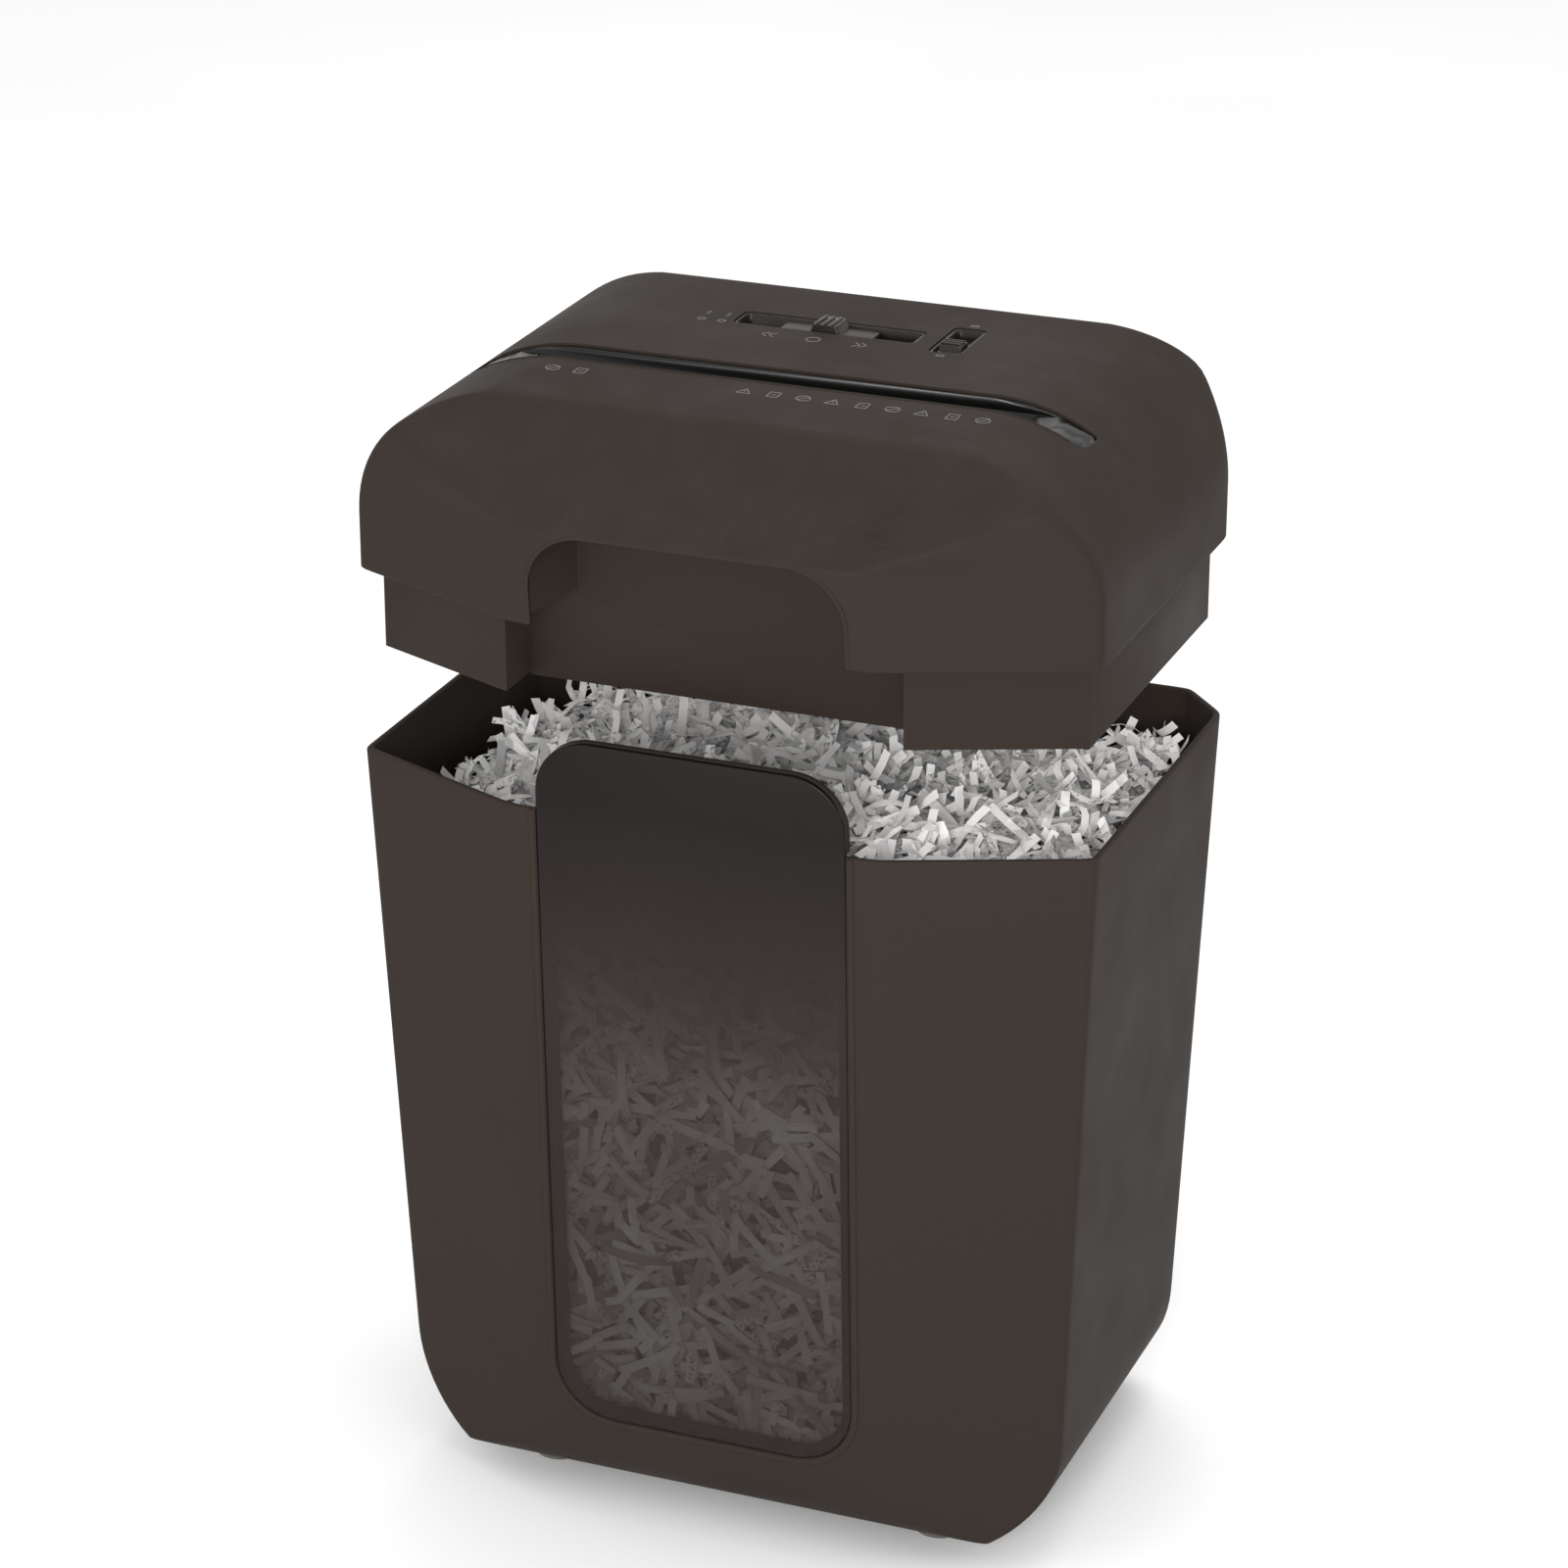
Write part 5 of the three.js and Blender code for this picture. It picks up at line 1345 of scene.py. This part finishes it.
def knob(node, name, body, along_x):
    """Slider with a chamfered plate, a waisted thumb grip and raised ribs."""
    low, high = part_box(node)
    centre = middle_of(node)
    length = (high.x - low.x) if along_x else (high.y - low.y)
    width = (high.y - low.y) if along_x else (high.x - low.x)

    def place(u, v, w):
        return (centre[0] + u, centre[1] + v, w) if along_x else (centre[0] - v, centre[1] + u, w)

    floor = TOP - 5.1 * MM
    plate_top = floor + 3.5 * MM
    half_l, half_w = length / 2, width / 2
    slant = 2.2 * MM
    base = [(-half_l, -half_w + slant), (-half_l + slant, -half_w), (half_l - slant, -half_w),
            (half_l, -half_w + slant), (half_l, half_w - slant), (half_l - slant, half_w),
            (-half_l + slant, half_w), (-half_l, half_w - slant)]
    grip_half = (6.5 if along_x else 4.5) * MM
    grip_top = high.z
    rings = []
    for share, z in ((1.22, plate_top - 0.4 * MM), (1.08, plate_top + 0.8 * MM), (0.9, grip_top - 1.6 * MM),
                     (0.86, grip_top - 0.9 * MM), (0.72, grip_top - 0.75 * MM)):
        outline = rounded_rectangle(-grip_half * share, grip_half * share, -half_w + 0.1 * MM,
                                    half_w - 0.1 * MM, 1.4 * MM, steps=4)
        rings.append([place(u, v, z) for u, v in outline])
    solids = [plate(base, place, floor, plate_top, 0.5 * MM), stack(rings)]
    rib_count = 3
    for i in range(rib_count):
        u = (i - (rib_count - 1) / 2) * grip_half * 0.55
        bar = rounded_rectangle(
            u - 0.6 * MM, u + 0.6 * MM, -half_w + 0.7 * MM, half_w - 0.7 * MM, 0.5 * MM, steps=3)
        solids.append(plate(bar, place, grip_top - 1.3 * MM, grip_top, 0.3 * MM))
    stem = rounded_rectangle(-2 * MM, 2 * MM, -2 * MM, 2 * MM, 0.4 * MM, steps=2)
    solids.append(plate(stem, place, low.z, floor + 0.5 * MM, 0.3 * MM))
    add_solid(name, merged(*solids), "control", body, replaces=(node,))


def build_controls():
    """Mode switch, safety lock and the two indicator lenses."""
    knob("mode_switch", "mode_knob", "mode_switch", True)
    knob("safety_lock", "lock_knob", "safety_lock", False)
    for node, name in (("led_power", "power_lens"), ("led_overheat", "overheat_lens")):
        low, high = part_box(node)
        x0, x1, y0, y1 = box_of(node)
        outline = rounded_rectangle(x0, x1, y0, y1, 1.0 * MM, steps=5)
        lens = plate(outline, in_plan, low.z, high.z, 0.35 * MM)
        add_solid(name, lens, "lens", "head", replaces=(node,))


# ---- Printed marks ----
def stroke(points, width, height):
    """Flat inked line through points in plan, lying on the cover's top skin."""
    spaced = []
    for (ax, ay), (bx, by) in zip(points[:-1], points[1:]):
        steps = max(2, int(math.hypot(bx - ax, by - ay) / (0.9 * MM)) + 1)
        spaced += [(ax + (bx - ax) * t, ay + (by - ay) * t) for t in np.linspace(0, 1, steps)[:-1]]
    spaced.append(points[-1])
    path = [(x, y, crown_z(x, y)) for x, y in spaced]
    profile = [(-width / 2, -0.3 * MM), (width / 2, -0.3 * MM), (width / 2, height), (-width / 2, height)]
    return sweep(path, [(0, 0, 1)] * len(path), profile)


def circle_points(x, y, radius, start=0, end=360, steps=20):
    return arc((x, y), radius, start, end, steps)


def chevron(x, y, size, direction):
    tail, tip = x - direction * size / 2, x + direction * size / 2
    return [(tail, y - size), (tip, y), (tail, y + size)]


def sheet_mark(x, y, size):
    """Generic icon: a sheet with lines."""
    w, h = size * 0.38, size * 0.5
    edge = [(x - w, y - h), (x + w, y - h), (x + w, y + h), (x - w, y + h), (x - w, y - h)]
    return [edge, [(x - w * 0.5, y), (x + w * 0.5, y)]]


def triangle_mark(x, y, size):
    h = size * 0.5
    return [[(x - h, y - h * 0.8), (x + h, y - h * 0.8), (x, y + h), (x - h, y - h * 0.8)],
            [(x, y - h * 0.2), (x, y + h * 0.4)]]


def ring_mark(x, y, size):
    """Generic icon: a ring with a bar across it."""
    r = size * 0.5
    return [circle_points(x, y, r), [(x - r * 0.7, y - r * 0.7), (x + r * 0.7, y + r * 0.7)]]


def build_marks():
    """Thin printed symbols: directions for the switch, lamps, lock ends and a row of plain icons."""
    centre = middle_of("switch_bezel")[0]
    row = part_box("switch_bezel")[0].y - 11.5 * MM
    lines = []
    for dx in (-1.6, 1.6):
        lines.append(chevron(centre - 21 * MM + dx * MM, row, 3 * MM, -1))
        lines.append(chevron(centre + 22 * MM + dx * MM, row, 3 * MM, 1))
    lines.append(circle_points(centre, row, 3.1 * MM))
    icons = [triangle_mark, sheet_mark, ring_mark]
    for i in range(ICON_COUNT):
        lines += icons[i % 3](ICON_START + i * ICON_PITCH, ICON_ROW, ICON_SIZE)
    for i, x in enumerate(ICONS_LEFT):
        lines += icons[2 - i](x, ICON_ROW, ICON_SIZE)
    for node in ("led_power", "led_overheat"):
        x0, x1, y0, y1 = box_of(node)
        lines.append(circle_points((x0 + x1) / 2, y0 - 5 * MM, 1.7 * MM, steps=14))
    lock_low, lock_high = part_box("lock_bezel")
    lock_x = middle_of("lock_bezel")[0]
    for y in (lock_low.y - 4.5 * MM, lock_high.y + 4.0 * MM):
        lines.append([(lock_x - 1.6 * MM, y - 1 * MM), (lock_x + 1.6 * MM, y - 1 * MM),
                      (lock_x + 1.6 * MM, y + 1.2 * MM), (lock_x - 1.6 * MM, y + 1.2 * MM),
                      (lock_x - 1.6 * MM, y - 1 * MM)])
    solids = [stroke(points, STROKE, INK) for points in lines]
    add_solid("printed_symbols", merged(*solids), "case", "head", finish="print")


# ---- Mechanism ----
MECHANISM_REFINED = {
    "head": [
        ("side_frame_left", 0.4), ("side_frame_right", 0.4), ("bearing_front_left", 0.4),
        ("bearing_front_right", 0.4), ("bearing_rear_left", 0.4), ("bearing_rear_right", 0.4),
        ("stripper_front", 0.3), ("stripper_rear", 0.3), ("motor", 0.8), ("control_board", 0.3),
        ("mode_switch_body", 0.4), ("sensor_body", 0.4), ("interlock_switch", 0.5),
    ],
    "idler": [("idler_wheel", 0.25), ("idler_pinion", 0.25)],
    "motor_rotor": [("motor_pinion", 0.2)],
    "cutter_rear": [("sync_gear_rear", 0.3), ("drive_gear", 0.3)],
    "cutter_front": [("sync_gear_front", 0.3)],
    "sensor_flag": [("sensor_flag", 0.3)],
}


def turned_rod(sections, place, sides=28):
    """Solid of revolution about X through (x, radius) sections; place is its axis in Y and Z."""
    return stack([
        [(x, place[0] + radius * math.cos(a), place[1] + radius * math.sin(a)) for a in around(sides)]
        for x, radius in sections
    ])


def cutter_shaft(node, name, body, hand):
    """Hardened cutter shaft: toothed discs with hooked tips, spacers and bevelled ends."""
    low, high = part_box(node)
    axis = next(j for j in frame["joints"] if j["name"] == node + "_spin")["pos_m"][1:]
    radius = (high.z - low.z) / 2
    stripper_low, stripper_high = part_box("stripper_rear")
    shaft_ends = 15.8 * MM
    span = stripper_high.x - stripper_low.x + 2 * MM - shaft_ends
    count = 12
    pitch = span / count
    disc = pitch / 2 - 1 * MM
    offset = 0 if hand > 0 else pitch / 2
    spacer = 13.6 * MM
    shaft = 6 * MM
    start = -span / 2
    solids = [turned_rod([(low.x, shaft - 0.8 * MM), (low.x + 0.8 * MM, shaft), (start - 1 * MM, shaft),
                          (start - 1 * MM, spacer - 0.5 * MM), (start - 0.5 * MM, spacer),
                          (-start + 0.5 * MM, spacer), (-start + 1 * MM, spacer - 0.5 * MM),
                          (-start + 1 * MM, shaft), (high.x - 0.8 * MM, shaft),
                          (high.x, shaft - 0.8 * MM)], axis)]
    teeth = 5
    hook = [(0.0, 1.0), (0.10, 0.975), (0.30, 0.955), (0.60, 0.945),
            (0.86, 0.94), (0.93, 0.90), (0.985, 0.93)]
    for i in range(count):
        x0 = start + i * pitch + offset
        x1 = min(x0 + disc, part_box("side_frame_right")[0].x - 0.5 * MM)
        for half in (0, 1):
            middle = (x0 + x1) / 2
            a, b = (x0, middle - 0.15 * MM) if half == 0 else (middle + 0.15 * MM, x1)
            turn = hand * (i * 0.42 + half * 0.2)
            outline = []
            for t in range(teeth):
                base = turn + 2 * math.pi * t / teeth
                for s, r in hook:
                    angle = base + hand * s * 2 * math.pi / teeth
                    outline.append((axis[0] + radius * r * math.cos(angle),
                                    axis[1] + radius * r * math.sin(angle)))
            if hand < 0:
                outline = outline[::-1]
            solids.append(prism(outline, in_side_view, a, b))
    add_solid(name, merged(*solids), "cutter_steel", body, smooth=30.0, replaces=(node,))


def build_mechanism():
    """Cutters, gears, frames and electrics inside the head."""
    cutter_shaft("cutter_rear", "rear_cutter_shaft", "cutter_rear", 1)
    cutter_shaft("cutter_front", "front_cutter_shaft", "cutter_front", -1)
    for body, entries in MECHANISM_REFINED.items():
        for node, width in entries:
            refined(node, "detailed_" + node, body, width * MM)
    build_screws()
    build_capacitor()


def build_screws():
    """Pan-head screws with crossed recesses, seen under the housing."""
    for i in range(1, 5):
        node = f"screw_{i}"
        x, y, _ = middle_of(node)
        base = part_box(node)[0].z
        sections = [(0.2, 0.0), (2.9, 0.05), (3.5, 0.6), (3.6, 1.4),
                    (3.6, 2.6), (1.7, 2.7), (1.7, 23.2), (0.9, 24.0)]
        rings = [level_circle(x, y, base + height * MM, radius * MM, 28) for radius, height in sections]
        piece = add_solid("pan_" + node, stack(rings), "frame_steel", "head", replaces=(node,))
        cross = []
        for w, d in ((2.1, 0.5), (0.5, 2.1)):
            outline = rounded_rectangle(x - w * MM, x + w * MM, y - d * MM, y + d * MM, 0)
            cross.append(prism(outline, in_plan, base - 1 * MM, base + 1.3 * MM))
        carve(piece, cross[:1])
        carve(piece, cross[1:])


def build_capacitor():
    """Motor capacitor: a drawn can with a crimped end."""
    low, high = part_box("motor_capacitor")
    axis = middle_of("motor_capacitor")[1:]
    radius = (high.z - low.z) / 2
    sections = [(low.x, radius * 0.84), (low.x + 1.2 * MM, radius * 0.97), (low.x + 3 * MM, radius),
                (high.x - 6 * MM, radius), (high.x - 5 * MM, radius * 0.94), (high.x - 4 * MM, radius),
                (high.x - 1 * MM, radius * 0.99), (high.x, radius * 0.9)]
    can = turned_rod(sections, axis, 40)
    add_solid("capacitor_can", can, "gloss_black", "head", replaces=("motor_capacitor",))


def build_finishes():
    """Gives every CAD node that still shows its material."""
    for node, piece in frame["nodes"].items():
        piece.data.materials.clear()
        piece.data.materials.append(finish_of(NODE_SLOT[node]))


# ---- Stage ----
def build_stage():
    """Pale floor, soft studio light and the camera."""
    world = bpy.data.worlds.new("studio")
    bpy.context.scene.world = world
    world.use_nodes = True
    background = world.node_tree.nodes["Background"]
    background.inputs["Color"].default_value = (1.0, 1.0, 1.0, 1)
    background.inputs["Strength"].default_value = 1.0
    bpy.context.scene.view_settings.view_transform = "Standard"

    reach = 6.0
    mesh = bpy.data.meshes.new("studio_floor")
    corners = [(-reach, -reach, 0), (reach, -reach, 0), (reach, reach, 0), (-reach, reach, 0)]
    mesh.from_pydata(corners, [], [(0, 1, 2, 3)])
    floor = bpy.data.objects.new("studio_floor", mesh)
    bpy.context.scene.collection.objects.link(floor)
    material, tree, shader = new_material("pale_floor")
    place = tree.nodes.new("ShaderNodeTexCoord")
    tone = spread(tree, noise(tree, place, 1.5), "Fac", 0.3, 0.7, 0.86, 0.9)
    joined = tree.nodes.new("ShaderNodeCombineColor")
    for label in ("Red", "Green", "Blue"):
        wire(tree, tone, "Result", joined, label)
    wire(tree, joined, "Color", shader, "Base Color")
    shader.inputs["Roughness"].default_value = 0.9
    mesh.materials.append(material)

    lamps = (
        ("key_light", (-1.3, -1.5, 2.1), 1.6, 2),
        ("low_light", (-0.6, -2.4, 0.3), 1.2, 12),
        ("fill_light", (2.1, -0.6, 1.3), 1.4, 6),
        ("top_light", (0.1, 0.9, 2.4), 1.5, 16),
        ("heap_light", (0.6, -2.1, 1.0), 0.7, 32),
    )
    for name, place, size, power in lamps:
        light = bpy.data.lights.new(name, "AREA")
        light.shape = "SQUARE"
        light.size = size
        light.energy = power
        lamp = bpy.data.objects.new(name, light)
        bpy.context.scene.collection.objects.link(lamp)
        lamp.location = place
        lamp.rotation_euler = (Vector((0, 0, 0.3)) - Vector(place)).to_track_quat("-Z", "Y").to_euler()

    azimuth, elevation = math.radians(21.65), math.radians(22.65)
    target = Vector((-0.0017, -0.0035, 0.332))
    distance = 2.181
    back = Vector((math.sin(azimuth) * math.cos(elevation), -math.cos(azimuth) * math.cos(elevation),
                   math.sin(elevation)))
    lens = bpy.data.cameras.new("camera")
    lens.lens = 112.5
    lens.sensor_width = 36
    camera = bpy.data.objects.new("camera", lens)
    bpy.context.scene.collection.objects.link(camera)
    camera.location = target + back * distance
    camera.rotation_euler = (-back).to_track_quat("-Z", "Y").to_euler()
    bpy.context.scene.camera = camera


# ---- Operators ----
class SHREDDER_OT_finishes(bpy.types.Operator):
    """Give the frame's own pieces their materials"""
    bl_idname = "shredder.finishes"
    bl_label = "Finishes"

    def execute(self, context):
        build_finishes()
        return {"FINISHED"}


class SHREDDER_OT_bin(bpy.types.Operator):
    """Build the bin with its window frame, bead, ribs and feet"""
    bl_idname = "shredder.bin"
    bl_label = "Bin"

    def execute(self, context):
        build_bin()
        build_feet()
        return {"FINISHED"}


class SHREDDER_OT_window(bpy.types.Operator):
    """Build the smoked window and the lining of its tongue"""
    bl_idname = "shredder.window"
    bl_label = "Window"

    def execute(self, context):
        build_window()
        return {"FINISHED"}


class SHREDDER_OT_paper(bpy.types.Operator):
    """Fill the bin with shredded paper"""
    bl_idname = "shredder.paper"
    bl_label = "Shredded paper"

    def execute(self, context):
        build_heap()
        build_packed_paper()
        return {"FINISHED"}


class SHREDDER_OT_cover(bpy.types.Operator):
    """Build the head's cover with its arch, slot and vents"""
    bl_idname = "shredder.cover"
    bl_label = "Cover"

    def execute(self, context):
        build_cover()
        return {"FINISHED"}


class SHREDDER_OT_head(bpy.types.Operator):
    """Build the skirt, grip recess, throat and control wells"""
    bl_idname = "shredder.head"
    bl_label = "Head mouldings"

    def execute(self, context):
        build_head_pieces()
        return {"FINISHED"}


class SHREDDER_OT_controls(bpy.types.Operator):
    """Build the mode switch, the safety lock and the lenses"""
    bl_idname = "shredder.controls"
    bl_label = "Controls"

    def execute(self, context):
        build_controls()
        return {"FINISHED"}


class SHREDDER_OT_marks(bpy.types.Operator):
    """Print the plain symbols on the cover"""
    bl_idname = "shredder.marks"
    bl_label = "Printed marks"

    def execute(self, context):
        build_marks()
        return {"FINISHED"}


class SHREDDER_OT_mechanism(bpy.types.Operator):
    """Build the cutters, gears, frames and electrics"""
    bl_idname = "shredder.mechanism"
    bl_label = "Mechanism"

    def execute(self, context):
        build_mechanism()
        return {"FINISHED"}


class SHREDDER_OT_stage(bpy.types.Operator):
    """Set the floor, lights and camera"""
    bl_idname = "shredder.stage"
    bl_label = "Stage"

    def execute(self, context):
        build_stage()
        return {"FINISHED"}


STEPS = (
    SHREDDER_OT_finishes, SHREDDER_OT_bin, SHREDDER_OT_window, SHREDDER_OT_paper, SHREDDER_OT_cover,
    SHREDDER_OT_head, SHREDDER_OT_controls, SHREDDER_OT_marks, SHREDDER_OT_mechanism, SHREDDER_OT_stage,
)


class SHREDDER_PT_panel(bpy.types.Panel):
    """Sidebar panel with the shredder's settings and building steps"""
    bl_idname = "SHREDDER_PT_panel"
    bl_label = "Paper shredder"
    bl_space_type = "VIEW_3D"
    bl_region_type = "UI"
    bl_category = "Shredder"

    def draw(self, context):
        for settings in (context.scene.shredder_sizes, context.scene.shredder_colours):
            box = self.layout.box()
            for name in settings.__annotations__:
                box.prop(settings, name)
        for step in STEPS:
            self.layout.operator(step.bl_idname)


CLASSES = (ShredderSizes, ShredderColours, *STEPS, SHREDDER_PT_panel)


def register():
    for item in CLASSES:
        bpy.utils.register_class(item)
    bpy.types.Scene.shredder_sizes = PointerProperty(type=ShredderSizes)
    bpy.types.Scene.shredder_colours = PointerProperty(type=ShredderColours)


def unregister():
    del bpy.types.Scene.shredder_colours
    del bpy.types.Scene.shredder_sizes
    for item in reversed(CLASSES):
        bpy.utils.unregister_class(item)


def main():
    register()
    for step in STEPS:
        group, name = step.bl_idname.split(".")
        getattr(getattr(bpy.ops, group), name)()


if __name__ == "__main__":
    main()
